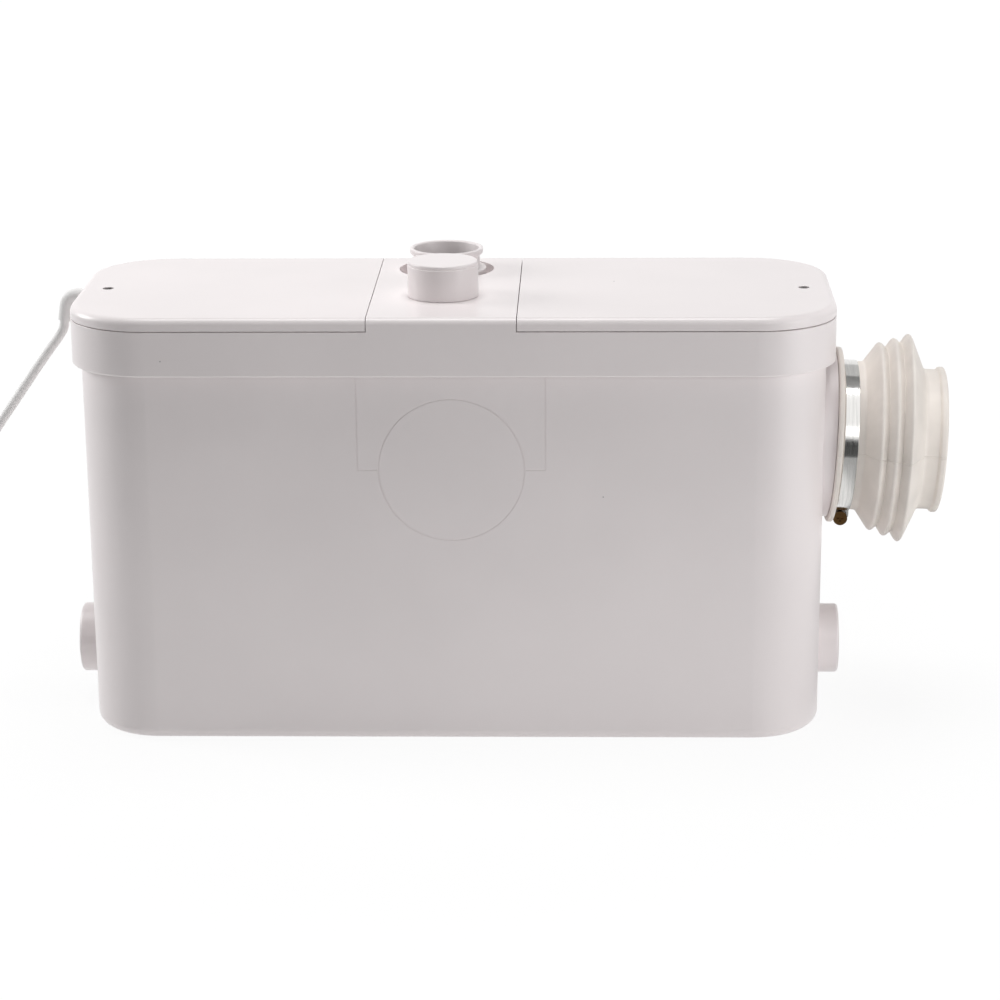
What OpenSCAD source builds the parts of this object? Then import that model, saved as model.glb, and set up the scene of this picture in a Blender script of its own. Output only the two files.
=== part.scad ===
// Macerator toilet pump: a moulded tank with a three-part lid, a bellows inlet for the pan,
// two low side inlets, a top inlet under a cap and a top discharge tube. Inside hang a sealed
// motor, a cutter in a strainer basket, a centrifugal pump and a pressure switch.
// Origin: middle of the tank's base. +X towards the bellows, -Y towards the front, +Z up.

/* [Tank] */
// Length of the tank at its base
tank_l = 466; // [450:1:500]
// Depth of the tank at its base
tank_d = 172; // [166:1:190]
// Height of the tank's rim above its base
tank_h = 250; // [240:1:270]
// Wall thickness of the tank
tank_wall = 3; // [2:0.5:4]
// Draft of the tank's walls, in degrees
tank_draft = 0.3; // [0.2:0.1:1]
// Radius of the tank's upright corners at its base
tank_corner_r = 44; // [36:1:52]
// Radius of the tank's bottom edge
tank_foot_r = 8; // [4:1:12]

/* [Lid] */
// Height of the whole lid, from the skirt's lower edge to the top
lid_h = 37; // [36:0.5:44]
// How far the skirt reaches down past the tank's rim
skirt_lap = 10.5; // [8:0.5:14]
// How far the skirt stands out from the tank's wall
lid_overhang = 5.7; // [5:0.1:8]
// Wall thickness of the lid and its covers
lid_wall = 2.5; // [2:0.1:3]
// Radius of the lid's top edge
lid_edge_r = 4.5; // [3.5:0.5:7]
// Height of the covers' side walls
cover_h = 8.5; // [8:0.5:12]
// Width of the fixed bridge between the two covers
bridge_w = 92; // [88:1:96]
// Place of the bridge along the lid
bridge_x = -5; // [-8:0.5:0]
// Gap of the seam around each cover
seam_gap = 0.5; // [0.3:0.1:0.8]
// Distance of each cover screw from the lid's end
cover_screw_inset = 18; // [17:0.5:26]
// Distance of each cover screw in front of the lid's middle
cover_screw_front = 4; // [0:1:32]

/* [Pan inlet] */
// Depth of the pan inlet's axis below the tank's rim, at the lid's end
wc_drop = 71; // [66:0.5:76]
// Droop of the pan inlet, in degrees
wc_droop = 3; // [0:0.5:4]
// Outer radius of the spigot that carries the bellows
spigot_r = 45.5; // [43:0.5:47]
// Wall of the rubber bellows
bellows_wall = 2.3; // [2:0.1:2.8]
// Radius of the first rib of the bellows
rib_r = 59.5; // [56:0.5:62]
// Growth in radius from rib to rib
rib_grow = 3.2; // [1:0.1:4]
// Distance from rib to rib
rib_pitch = 9.2; // [8:0.1:11]
// Outer radius of the bellows' end collar
collar_r = 45.1; // [43:0.1:47]
// Length of the bellows' end collar
collar_l = 13.5; // [11:0.5:18]
// Width of the clamp's steel band
band_w = 9; // [7:0.5:9]
// Thickness of the clamp's steel band
band_t = 0.8; // [0.6:0.1:1]

/* [Side inlets] */
// Height of the side inlets' axes
side_z = 40.5; // [38:0.5:52]
// Outer radius of the side inlet stubs
side_r = 22.5; // [21:0.5:24]
// Bore radius of the side inlet stubs
side_bore_r = 20.2; // [19:0.1:20.4]
// How far the side inlet stubs stand out of the tank
side_proud = 15; // [12:0.5:24]

/* [Top fittings] */
// Distance of the discharge tube from the lid's rear
discharge_rear = 37; // [37:1:44]
// Outer radius of the discharge tube
discharge_r = 21.8; // [20:0.1:22]
// Height of the discharge tube's rim above the lid
discharge_proud = 14.5; // [12:0.5:24]
// Distance of the top inlet from the lid's front
top_inlet_front = 67; // [56:1:70]
// Outer radius of the top inlet's cap
cap_r = 22.4; // [20:0.1:24]
// Height of the top inlet's cap
cap_h = 22.5; // [18:0.5:28]

/* [Motor and pump] */
// Distance of the motor's axis from the tank's right end
motor_from_end = 121; // [118:1:126]
// Outer radius of the motor's can
can_r = 52; // [50:0.5:54]
// Height of the motor's can
can_h = 130; // [124:1:132]
// Radius of the motor's shaft
shaft_r = 6; // [5:0.5:6]
// Outer radius of the strainer basket
basket_r = 65; // [64:0.5:67]
// Height of the strainer basket
basket_h = 66; // [56:1:68]
// Radius of the cutter's sweep
cutter_r = 50; // [40:1:51]
// Radius of the pump's chamber
chamber_r = 49.5; // [46:0.5:50]
// Radius of the impeller
impeller_r = 46; // [38:0.5:46]
// Height of the pump's cover above the tank's floor
pump_clear = 9; // [8:0.5:12]

/* [Pressure switch] */
// Distance of the pressure chamber from the tank's left end
switch_from_end = 68; // [64:1:72]
// Outer radius of the pressure chamber
switch_r = 24; // [20:0.5:25]
// Travel of the switch's plunger
plunger_travel = 2; // [1:0.1:2.5]

/* [Mains lead] */
// Diameter of the mains lead
cord_d = 6.2; // [6:0.1:7]
// Outer radius of the cable sleeve
gland_r = 4.6; // [4.2:0.1:4.8]

/* [Hidden] */

$fn = 64;
// Overlap that fuses the features of one piece
bite = 0.5;
// Overrun of a cut past the faces that it opens
over = 1;
// Radial running clearance of shafts, trunnions and plungers
run = 0.05;
// Clearance between pieces that seat in each other
slip = 0.3;

// Levels of the lid
wc_z = tank_h - wc_drop;
lid_z0 = tank_h - skirt_lap;
lid_top = lid_z0 + lid_h;
seam_z = lid_top - cover_h;
gasket_t = 2;
deck_z0 = tank_h + gasket_t;
deck_t = 3;
deck_z1 = deck_z0 + deck_t;

// Plan of the lid, which follows the drafted tank
function grow(z) = z * tan(tank_draft);
lid_l = tank_l + 2 * (grow(lid_z0) + lid_overhang);
lid_d = tank_d + 2 * (grow(lid_z0) + lid_overhang);
lid_r = tank_corner_r + grow(lid_z0) + lid_overhang;
skirt_t = 5;
skirt_edge = 1.2;
seam_edge = 0.5;
lip_h = 5;
lip_t = 2;
rim_t = 4;
bridge_x0 = bridge_x - bridge_w / 2;
bridge_x1 = bridge_x + bridge_w / 2;
cover_screw_x = lid_l / 2 - cover_screw_inset;

// Rounded rectangle, flat
module rounded_rect(l, d, r) {
    square([l - 2 * r, d], center = true);
    square([l, d - 2 * r], center = true);
    for (sx = [-1, 1], sy = [-1, 1])
        translate([sx * (l / 2 - r), sy * (d / 2 - r)])
            circle(r);
}

// Upright prism on a rounded rectangle
module slab(l, d, r, z0, z1) {
    translate([0, 0, z0])
        linear_extrude(z1 - z0)
            rounded_rect(l, d, r);
}

// Prism on the lid's plan, drawn in by an inset
module lid_slab(inset, z0, z1) {
    slab(lid_l - 2 * inset, lid_d - 2 * inset, lid_r - inset, z0, z1);
}

// Ring on the lid's plan between two insets
module lid_ring(inset_out, inset_in, z0, z1) {
    difference() {
        lid_slab(inset_out, z0, z1);
        lid_slab(inset_in, z0 - over, z1 + over);
    }
}

// Ring around the Z axis
module ring(r_out, r_in, z0, z1) {
    translate([0, 0, z0])
        difference() {
            cylinder(r = r_out, h = z1 - z0);
            translate([0, 0, -over])
                cylinder(r = r_in, h = z1 - z0 + 2 * over);
        }
}

// Round bar around the Z axis
module bar(r, z0, z1) {
    translate([0, 0, z0])
        cylinder(r = r, h = z1 - z0);
}

// Box given by its two corners
module box(a, b) {
    translate(a)
        cube(b - a);
}

// Solid with one side profile all round: the child is the profile outside a corner's upright axis
module carried(half_l, half_d, z0, z1) {
    for (sx = [0, 1], sy = [0, 1])
        mirror([sx, 0, 0])
            mirror([0, sy, 0])
                translate([half_l, half_d, 0])
                    rotate_extrude(angle = 90)
                        children();
    for (sx = [0, 1])
        mirror([sx, 0, 0])
            translate([half_l, half_d, 0])
                rotate([90, 0, 0])
                    linear_extrude(2 * half_d)
                        children();
    for (sy = [0, 1])
        mirror([0, sy, 0])
            translate([-half_l, half_d, 0])
                rotate([90, 0, 90])
                    linear_extrude(2 * half_l)
                        children();
    box([-half_l, -half_d, z0], [half_l, half_d, z1]);
}

// Side profile of a lid part: upright wall with a rounded top edge and a rounded foot
module lid_side(r, z0, z1, edge, foot) {
    polygon([[0, z0], [r - foot, z0], [r, z0 + foot], [r, z1 - edge], [r - edge, z1], [0, z1]]);
    translate([r - edge, z1 - edge])
        intersection() {
            circle(edge);
            square(edge);
        }
    translate([r - foot, z0 + foot])
        circle(foot);
}

// Corner axes of the tank and the lid, which share them
axis_x = tank_l / 2 - tank_corner_r;
axis_y = tank_d / 2 - tank_corner_r;

// Crowned solid of the whole lid above a level, drawn in by an inset
module lid_form(inset, z0, foot) {
    carried(axis_x, axis_y, z0, lid_top - inset)
        lid_side(lid_r - inset, z0, lid_top - inset, lid_edge_r - inset, foot);
}

// Drafted solid of the tank between two levels, drawn in by an inset, with a rounded bottom edge
module tank_form(inset, z0, z1, edge) {
    r = tank_corner_r - inset;
    carried(axis_x, axis_y, z0, z1) {
        polygon([[0, z0], [r + grow(z0 + edge) - edge, z0], [r + grow(z0 + edge), z0 + edge],
                 [r + grow(z1), z1], [0, z1]]);
        translate([r + grow(z0 + edge) - edge, z0 + edge])
            circle(edge);
    }
}

// Frame of the pan inlet: local Z runs outwards along its axis, local X points down
module at_wc() {
    translate([lid_l / 2, 0, wc_z])
        rotate([0, 90 + wc_droop, 0])
            children();
}

// Pan inlet spigot
spigot_wall = 3;
spigot_bore_r = spigot_r - spigot_wall;
spigot_l = 17;
wc_boss_r = 53;
wc_boss_l = 1;
wc_inner = -20;

// Screws that hold the lid frame, in the tank's corners
lid_screw_r = 2;
lid_boss_r = 5.5;
lid_boss_h = 40;
tank_top_r = tank_corner_r + grow(tank_h);
lid_screw_turn = 20;
lid_screw_reach = tank_top_r - tank_wall - lid_boss_r + 1;
lid_screw_x = tank_l / 2 + grow(tank_h) - tank_top_r + lid_screw_reach * cos(lid_screw_turn);
lid_screw_y = tank_d / 2 + grow(tank_h) - tank_top_r + lid_screw_reach * sin(lid_screw_turn);

module at_lid_screws() {
    for (sx = [-1, 1], sy = [-1, 1])
        translate([sx * lid_screw_x, sy * lid_screw_y, 0])
            children();
}

// Witness line of the blanked front inlet: a shallow groove ring and its bracket
witness_r = 45.4;
witness_w = 0.8;
witness_depth = 0.3;
bracket_w = 117;

module witness_lines() {
    translate([0, -tank_d / 2 - grow(wc_z), wc_z])
        rotate([90 + tank_draft, 0, 0])
            translate([0, 0, -witness_depth]) {
                linear_extrude(over)
                    difference() {
                        circle(witness_r + witness_w / 2);
                        circle(witness_r - witness_w / 2);
                    }
                for (s = [-1, 1]) {
                    translate([s * bracket_w / 2 - witness_w / 2, 0, 0])
                        cube([witness_w, tank_h - wc_z - rim_t - over, over]);
                    box([s > 0 ? witness_r + over : -bracket_w / 2, -witness_w / 2, 0],
                        [s > 0 ? bracket_w / 2 : -witness_r - over, witness_w / 2, over]);
                }
            }
}

side_x = tank_l / 2 + grow(side_z);

// Tank: one moulding with draft, a rim flange, the pan spigot and bosses for the lid
module tank() color("white") {
    difference() {
        union() {
            tank_form(0, 0, tank_h, tank_foot_r);
            lid_slab(lid_wall + slip, tank_h - rim_t, tank_h);
            at_wc() {
                bar(wc_boss_r, wc_inner, wc_boss_l);
                bar(spigot_r, 0, spigot_l);
            }
        }
        tank_form(tank_wall, tank_wall, tank_h + 2 * over, tank_foot_r - tank_wall);
        at_wc()
            bar(spigot_bore_r, 2 * wc_inner, spigot_l + over);
        for (s = [-1, 1])
            translate([s * side_x, 0, side_z])
                rotate([0, 90, 0])
                    cylinder(r = side_r + slip / 2, h = 4 * tank_wall, center = true);
        witness_lines();
    }
    at_lid_screws()
        ring(lid_boss_r, lid_screw_r + run, tank_h - lid_boss_h, tank_h);
}

// Rubber gasket between the tank's rim and the lid's deck
gasket_w = 4;
gasket_inset = lid_wall + 2 * slip;

module lid_gasket() color("dimgray")
    lid_ring(gasket_inset, gasket_inset + gasket_w, tank_h, deck_z0);

// Countersunk screws that hold the lid frame to the tank
lid_screw_depth = 25;
lid_screw_head = 2.4;

module lid_screws() color("silver")
    at_lid_screws() {
        bar(lid_screw_r, deck_z0 - lid_screw_depth, deck_z1 + bite);
        bar(2 * lid_screw_r, deck_z1, deck_z1 + lid_screw_head);
    }

// Places along the lid
motor_x = tank_l / 2 - motor_from_end;
discharge_x = bridge_x - 2.8;
discharge_y = lid_d / 2 - discharge_rear;
top_inlet_x = bridge_x - 1.5;
top_inlet_y = top_inlet_front - lid_d / 2;
discharge_hole_r = 31;
well_depth = 7;

// Top inlet tube under its cap
top_tube_wall = 2.3;
top_tube_r = cap_r - 1.6 - slip / 2;
top_tube_h = cap_h - 5;

// Control tray in the deck under the left cover
tray_gap = 11;
tray_end = 31;
tray_l = tank_l / 2 + bridge_x0 - tray_gap - tray_end;
tray_d = 118;
tray_x = bridge_x0 - tray_gap - tray_l / 2;
tray_floor_z = deck_z0 - 42;
tray_t = 2;
tray_r = 10;
tray_lip = 4;

// Motor flanges, clamped on both sides of the deck
motor_flange_r = can_r + 12;
motor_screw_pcr = can_r + 7;
motor_screw_r = 2;
motor_screw_n = 4;

module at_motor_screws() {
    for (k = [0 : motor_screw_n - 1])
        translate([motor_x, 0, 0])
            rotate(45 + 360 * k / motor_screw_n)
                translate([motor_screw_pcr, 0, 0])
                    children();
}

// Valve body under the discharge tube
valve_r = 27;
valve_wall = 3;

// Vent filter beside the motor
vent_r = 17;
vent_x = cover_screw_x - 17;
vent_rear = 52;
vent_y = lid_d / 2 - vent_rear;

// Cable sleeve at the rear left corner
gland_rear = 48;
gland_y = lid_d / 2 - gland_rear;
gland_z = seam_z - gland_r - 2;

// Column that takes one cover screw
column_r = 5;
column_top = seam_z + 3;
pilot_r = 1.6;

// Lid frame: skirt, deck, bridge between the covers, and the top inlet's tube
module lid_frame() color("white")
    difference() {
        union() {
            difference() {
                carried(axis_x, axis_y, lid_z0, seam_z)
                    lid_side(lid_r, lid_z0, seam_z, seam_edge, skirt_edge);
                lid_slab(lid_wall, lid_z0 - over, deck_z0);
                lid_slab(skirt_t, deck_z0 - over, seam_z + over);
            }
            lid_ring(lid_wall + slip, lid_wall + slip + lip_t, seam_z - bite, seam_z + lip_h);
            lid_slab(lid_wall - bite, deck_z0, deck_z1);
            bridge();
            for (s = [-1, 1])
                translate([s * cover_screw_x, -cover_screw_front, 0])
                    bar(column_r, deck_z1 - bite, column_top);
            translate([top_inlet_x, top_inlet_y, 0])
                bar(top_tube_r, deck_z0, lid_top + top_tube_h);
            translate([discharge_x, discharge_y, 0])
                ring(discharge_hole_r + lid_wall, valve_r + slip, lid_top - well_depth - lid_wall, lid_top - bite);
        }
        for (s = [-1, 1])
            translate([s * cover_screw_x, -cover_screw_front, 0])
                bar(pilot_r, deck_z1 + over, column_top + over);
        translate([top_inlet_x, top_inlet_y, 0])
            bar(top_tube_r - top_tube_wall, deck_z0 - over, lid_top + top_tube_h + over);
        translate([discharge_x, discharge_y, 0]) {
            bar(discharge_hole_r, lid_top - well_depth, lid_top + over);
            bar(valve_r + slip, deck_z0 - over, lid_top);
        }
        translate([motor_x, 0, 0])
            bar(can_r - 2, deck_z0 - over, deck_z1 + over);
        at_motor_screws()
            bar(motor_screw_r + slip / 2, deck_z0 - over, deck_z1 + over);
        at_lid_screws()
            bar(lid_screw_r + slip / 2, deck_z0 - over, deck_z1 + over);
        translate([tray_x, 0, 0])
            slab(tray_l + slip, tray_d + slip, tray_r, deck_z0 - over, deck_z1 + over);
        translate([vent_x, vent_y, 0])
            bar(vent_r + slip / 2, deck_z0 - over, deck_z1 + over);
        translate([-lid_l / 2, gland_y, gland_z])
            rotate([0, 90, 0])
                cylinder(r = gland_r + slip / 2, h = lid_r);
    }

// Bridge: the fixed middle of the lid, a hollow box over the deck
module bridge() {
    difference() {
        intersection() {
            lid_form(0, seam_z - 2 * seam_edge, seam_edge / 2);
            box([bridge_x0, -lid_d, 0], [bridge_x1, lid_d, 2 * lid_top]);
        }
        intersection() {
            lid_form(lid_wall, seam_z - 3 * seam_edge, seam_edge / 2);
            box([bridge_x0 + lid_wall, -lid_d, 0], [bridge_x1 - lid_wall, lid_d, 2 * lid_top]);
        }
    }
    for (x = [bridge_x0, bridge_x1 - lid_wall])
        box([x, -lid_d / 2 + skirt_t - bite, deck_z1 - bite],
            [x + lid_wall, lid_d / 2 - skirt_t + bite, seam_z + bite]);
}

// Cover screws sit deep in round recesses
recess_r = 3.6;
recess_floor_z = column_top + 2.5;
recess_wall = 2;
cover_screw_r = pilot_r - run;
cover_screw_head_r = 3;
cover_screw_l = 12;

// One access cover, on the side given by -1 for left or 1 for right
module cover(side) {
    difference() {
        union() {
            difference() {
                lid_form(0, seam_z + seam_gap, seam_edge);
                lid_form(lid_wall, seam_z, seam_edge / 2);
            }
            translate([side * cover_screw_x, -cover_screw_front, 0])
                bar(recess_r + recess_wall, column_top + slip, lid_top - lid_wall / 2);
        }
        translate([side * cover_screw_x, -cover_screw_front, 0]) {
            bar(recess_r, recess_floor_z, lid_top + over);
            bar(cover_screw_r + slip, seam_z, lid_top);
        }
        if (side < 0)
            box([bridge_x0 - seam_gap, -lid_d, 0], [lid_l, lid_d, 2 * lid_top]);
        else
            box([-lid_l, -lid_d, 0], [bridge_x1 + seam_gap, lid_d, 2 * lid_top]);
    }
}

module left_cover() color("whitesmoke")
    cover(-1);

module right_cover() color("whitesmoke")
    cover(1);

// One cover screw: shank in the column, pan head on the recess floor
module cover_screw(side) {
    translate([side * cover_screw_x, -cover_screw_front, 0]) {
        bar(cover_screw_r, recess_floor_z - cover_screw_l, recess_floor_z + bite);
        bar(cover_screw_head_r, recess_floor_z, recess_floor_z + 2.2);
    }
}

module left_cover_screw() color("dimgray")
    cover_screw(-1);

module right_cover_screw() color("dimgray")
    cover_screw(1);

// Cap over the top inlet's tube, pulled off to use the inlet
cap_top_t = 2.5;
cap_edge = 1.2;
cap_groove_z = 2.6;
cap_groove = 0.4;

module top_inlet_cap() color("white")
    translate([top_inlet_x, top_inlet_y, lid_top + slip / 2])
        difference() {
            rotate_extrude()
                polygon([[0, 0], [cap_r, 0], [cap_r, cap_h - cap_groove_z - cap_groove],
                         [cap_r - cap_groove, cap_h - cap_groove_z], [cap_r - cap_groove, cap_h - cap_edge],
                         [cap_r - cap_groove - cap_edge, cap_h], [0, cap_h]]);
            bar(top_tube_r + slip / 2, -over, cap_h - cap_top_t);
        }

// Bellows in the frame of the pan inlet: sleeve over the spigot, rounded ribs, end collar with a bead
sleeve_r = spigot_r + run + bellows_wall;
sleeve_z0 = wc_boss_l + slip;
sleeve_lip_r = 56.5;
sleeve_lip_t = 3.6;
sleeve_l = 20;
rib_z = 29;
rib_n = 3;
rib_depth = 4.6;
collar_z = 58;
bead_r = 1.8;
bellows_l = collar_z + collar_l;

// Middle line of the wall, from the sleeve over the ribs to the collar; corners stand proud of the straights
wall_r = bellows_wall / 2;
proud = 0.1;
function rib_top(k) = [rib_r + k * rib_grow - wall_r, rib_z + k * rib_pitch];
function rib_dip(k) = [rib_r + (k + 0.5) * rib_grow - rib_depth - wall_r, rib_z + (k + 0.5) * rib_pitch];
rib_line = [for (k = [0 : rib_n - 1]) each k < rib_n - 1 ? [rib_top(k), rib_dip(k)] : [rib_top(k)]];
bellows_line = concat([[sleeve_r - wall_r + proud, sleeve_l]], rib_line,
    [[collar_r - wall_r + proud, collar_z - wall_r]]);

// Wall of even thickness along a line, with round corners
module stroke(line, w) {
    for (p = line)
        translate(p)
            circle(w / 2, $fn = 32);
    for (k = [0 : len(line) - 2])
        let (d = line[k + 1] - line[k])
            translate(line[k])
                rotate(atan2(d[1], d[0]))
                    translate([0, proud - w / 2])
                        square([norm(d), w - 2 * proud]);
}

module wc_bellows() color("ivory")
    at_wc()
        rotate_extrude() {
            translate([spigot_r + run, sleeve_z0])
                square([bellows_wall, sleeve_l - sleeve_z0]);
            translate([spigot_r + run, sleeve_z0])
                square([sleeve_lip_r - spigot_r - run, sleeve_lip_t]);
            stroke(bellows_line, bellows_wall);
            translate([collar_r - bellows_wall, collar_z - wall_r])
                square([bellows_wall, collar_l + wall_r]);
            translate([collar_r, bellows_l - bead_r - proud])
                circle(bead_r, $fn = 32);
        }

// Worm-drive clamp around the sleeve, its screw housing at the bottom
band_z = sleeve_z0 + sleeve_lip_t + 1.2;
band_r = sleeve_r + run;
housing_l = 14;
housing_w = band_w + 2;
clamp_screw_r = 3.2;
clamp_screw_reach = band_r + band_t + clamp_screw_r + 1;
clamp_head_r = 4.6;
clamp_head_t = 4.5;
band_tail = 50;

// Frame of the clamp's screw: local Z runs to the front along the screw
module at_clamp_screw() {
    at_wc()
        translate([clamp_screw_reach, 0, band_z + band_w / 2])
            rotate([90, 0, 0])
                children();
}

module clamp_band() color("silver")
    at_wc() {
        ring(band_r + band_t, band_r, band_z, band_z + band_w);
        rotate(15)
            translate([0, 0, band_z])
                rotate_extrude(angle = band_tail)
                    translate([band_r + band_t - bite / 2, 0])
                        square([band_t + bite / 2, band_w]);
    }

module clamp_housing() color("silver")
    difference() {
        at_clamp_screw()
            translate([0, 0, -housing_l / 2])
                linear_extrude(housing_l) {
                    circle(clamp_screw_r + 1.2);
                    translate([-clamp_screw_r - 3, -housing_w / 2])
                        square([clamp_screw_r + 3, housing_w]);
                }
        at_clamp_screw()
            bar(clamp_screw_r + run, -housing_l, housing_l);
        at_wc()
            bar(band_r + band_t + run, band_z - band_w, band_z + 2 * band_w);
        at_wc()
            rotate(15)
                translate([0, 0, band_z - band_w])
                    rotate_extrude(angle = band_tail)
                        square([band_r + 2 * band_t + run, 3 * band_w]);
    }

module clamp_screw() color("goldenrod")
    at_clamp_screw()
        difference() {
            union() {
                bar(clamp_screw_r, -housing_l / 2 - 1, housing_l / 2 + 1);
                bar(clamp_head_r, housing_l / 2 + slip, housing_l / 2 + slip + clamp_head_t);
            }
            for (a = [0, 90])
                rotate(a)
                    translate([-clamp_head_r / 2, -0.5, housing_l / 2 + clamp_head_t - 1.2])
                        cube([clamp_head_r, 1, 3]);
        }

// Chute inside the tank: a collar in the spigot and a trough that falls to the basket
chute_wall = 2;
chute_r = spigot_bore_r - slip / 2;
chute_fall = 24;
chute_l = 54;
chute_collar = 16;
chute_turn = 28;

module inlet_chute() color("gainsboro") {
    at_wc()
        ring(chute_r, chute_r - chute_wall, -chute_collar, spigot_l);
    at_wc()
        translate([0, 0, -chute_turn])
            rotate([0, 180 - chute_fall, 0])
                difference() {
                    ring(chute_r, chute_r - chute_wall, 0, chute_l);
                    translate([0, -2 * chute_r, -chute_r])
                        cube(4 * chute_r);
                }
}

// Side inlets: a stub through each end wall with a flap that hangs over its inner end
side_flange_r = side_r + 4;
side_flange_t = 3;
side_lip = 1.5;
side_flange_x = side_x - tank_wall - 2 * slip;
flap_t = 2.5;
flap_x = side_flange_x - side_flange_t - slip;
flap_r = side_bore_r + 2.2;
trunnion_r = 2;
trunnion_z = side_z + side_flange_r + 1.5;
trunnion_x = flap_x - flap_t / 2;
ear_y = 13;
ear_t = 4;
ear_r = trunnion_r + 2;

// Stub of the right end; the left one is its mirror image
module inlet_stub() {
    difference() {
        union() {
            translate([0, 0, side_z])
                rotate([0, 90, 0])
                    rotate_extrude()
                        polygon([[0, side_flange_x - side_flange_t],
                                 [side_flange_r, side_flange_x - side_flange_t],
                                 [side_flange_r, side_flange_x], [side_r, side_flange_x],
                                 [side_r, side_x + side_proud - side_lip],
                                 [side_r - side_lip / 3, side_x + side_proud - side_lip / 3],
                                 [side_r - side_lip, side_x + side_proud], [0, side_x + side_proud]]);
            for (s = [-1, 1])
                translate([0, s * ear_y - ear_t / 2, 0]) {
                    translate([trunnion_x, ear_t, trunnion_z])
                        rotate([90, 0, 0])
                            cylinder(r = ear_r, h = ear_t);
                    box([trunnion_x, 0, trunnion_z - ear_r], [side_flange_x, ear_t, trunnion_z + ear_r / 2]);
                    box([side_flange_x - side_flange_t, 0, side_z + side_bore_r + bite],
                        [side_flange_x, ear_t, trunnion_z]);
                }
        }
        translate([0, 0, side_z])
            rotate([0, 90, 0])
                bar(side_bore_r, 0, side_x + side_proud + over);
        translate([trunnion_x, 0, trunnion_z])
            rotate([90, 0, 0])
                cylinder(r = trunnion_r + run, h = 4 * ear_y, center = true);
    }
}

// Rubber flap of the right end on its moulded trunnions
module inlet_flap() {
    translate([flap_x - flap_t, 0, side_z])
        rotate([0, 90, 0])
            cylinder(r = flap_r, h = flap_t);
    box([flap_x - flap_t, -ear_y + ear_t, side_z], [flap_x, ear_y - ear_t, trunnion_z]);
    translate([trunnion_x, 0, trunnion_z])
        rotate([90, 0, 0])
            cylinder(r = trunnion_r, h = 2 * ear_y + ear_t, center = true);
}

module right_inlet_stub() color("white")
    inlet_stub();

module left_inlet_stub() color("white")
    mirror([1, 0, 0])
        inlet_stub();

module right_inlet_flap() color("dimgray")
    inlet_flap();

module left_inlet_flap() color("dimgray")
    mirror([1, 0, 0])
        inlet_flap();

// Levels of the pump, from the tank's floor up
cover_z = tank_wall + pump_clear;
cover_t = 3;
chamber_z0 = cover_z + cover_t;
chamber_z1 = chamber_z0 + 24.5;
volute_wall = 2.5;
volute_top = chamber_z1 + volute_wall;
basket_floor_t = 2.5;
basket_floor_z1 = volute_top + basket_floor_t;
pump_flange_r = basket_r;
pump_bolt_pcr = chamber_r + 8.5;
pump_bolt_r = 2.5;
pump_bolt_n = 3;
spacer_r = 4.5;
neck_r = shaft_r + 5;

module at_motor() {
    translate([motor_x, 0, 0])
        children();
}

module at_pump_bolts() {
    at_motor()
        for (k = [0 : pump_bolt_n - 1])
            rotate(60 + 360 * k / pump_bolt_n)
                translate([pump_bolt_pcr, 0, 0])
                    children();
}

// Tangential outlet of the pump, aimed at the riser's foot
outlet_wall = 2.5;
outlet_r = (chamber_z1 - chamber_z0) / 2 - outlet_wall - slip;
outlet_offset = chamber_r - outlet_r - 1.5;
outlet_z = (chamber_z0 + chamber_z1) / 2;
riser_dx = discharge_x - motor_x;
riser_dist = norm([riser_dx, discharge_y]);
outlet_turn = atan2(discharge_y, riser_dx) + asin(outlet_offset / riser_dist);
outlet_reach = sqrt(riser_dist * riser_dist - outlet_offset * outlet_offset);

// Frame of the outlet: local Z runs along the outlet from abreast of the motor's axis
module at_outlet() {
    at_motor()
        rotate(outlet_turn)
            translate([0, -outlet_offset, outlet_z])
                rotate([0, 90, 0])
                    children();
}

riser_r = 15.5;
riser_wall = 2.5;
outlet_l = outlet_reach - riser_r - 6;

// Pump casing: round chamber with a tangential outlet, open below
module volute() color("slategray")
    difference() {
        union() {
            at_motor() {
                bar(chamber_r + volute_wall, chamber_z0, volute_top);
                bar(pump_flange_r, chamber_z1, volute_top);
            }
            at_outlet()
                bar(outlet_r + outlet_wall, 0, outlet_l);
            at_pump_bolts()
                bar(spacer_r, chamber_z0, chamber_z1 + bite);
        }
        at_motor() {
            bar(chamber_r, chamber_z0 - over, chamber_z1);
            bar(neck_r, chamber_z1 - over, volute_top + over);
        }
        at_outlet()
            bar(outlet_r, 0, outlet_l + over);
        at_pump_bolts()
            bar(pump_bolt_r + slip / 2, chamber_z0 - over, volute_top + over);
    }

// Suction plate under the chamber with its eye
eye_r = 18;

module pump_cover() color("slategray")
    difference() {
        at_motor()
            union() {
                bar(pump_flange_r, cover_z, chamber_z0);
                ring(eye_r + 2, eye_r, cover_z - 3, cover_z + bite);
            }
        at_motor()
            bar(eye_r, cover_z - 2 * over, chamber_z0 + over);
        at_pump_bolts()
            bar(pump_bolt_r + slip / 2, cover_z - over, chamber_z0 + over);
    }

// Levels of the motor, down from the deck
can_z0 = deck_z0 - can_h;
can_wall = 2.5;
can_floor_t = 4;
can_flange_t = 4;
bearing_r = 14;
bearing_h = 8;
seal_r = 11;
seal_h = 9;
hub_wall = 3;
foot_flange_r = pump_bolt_pcr + 5;

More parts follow.
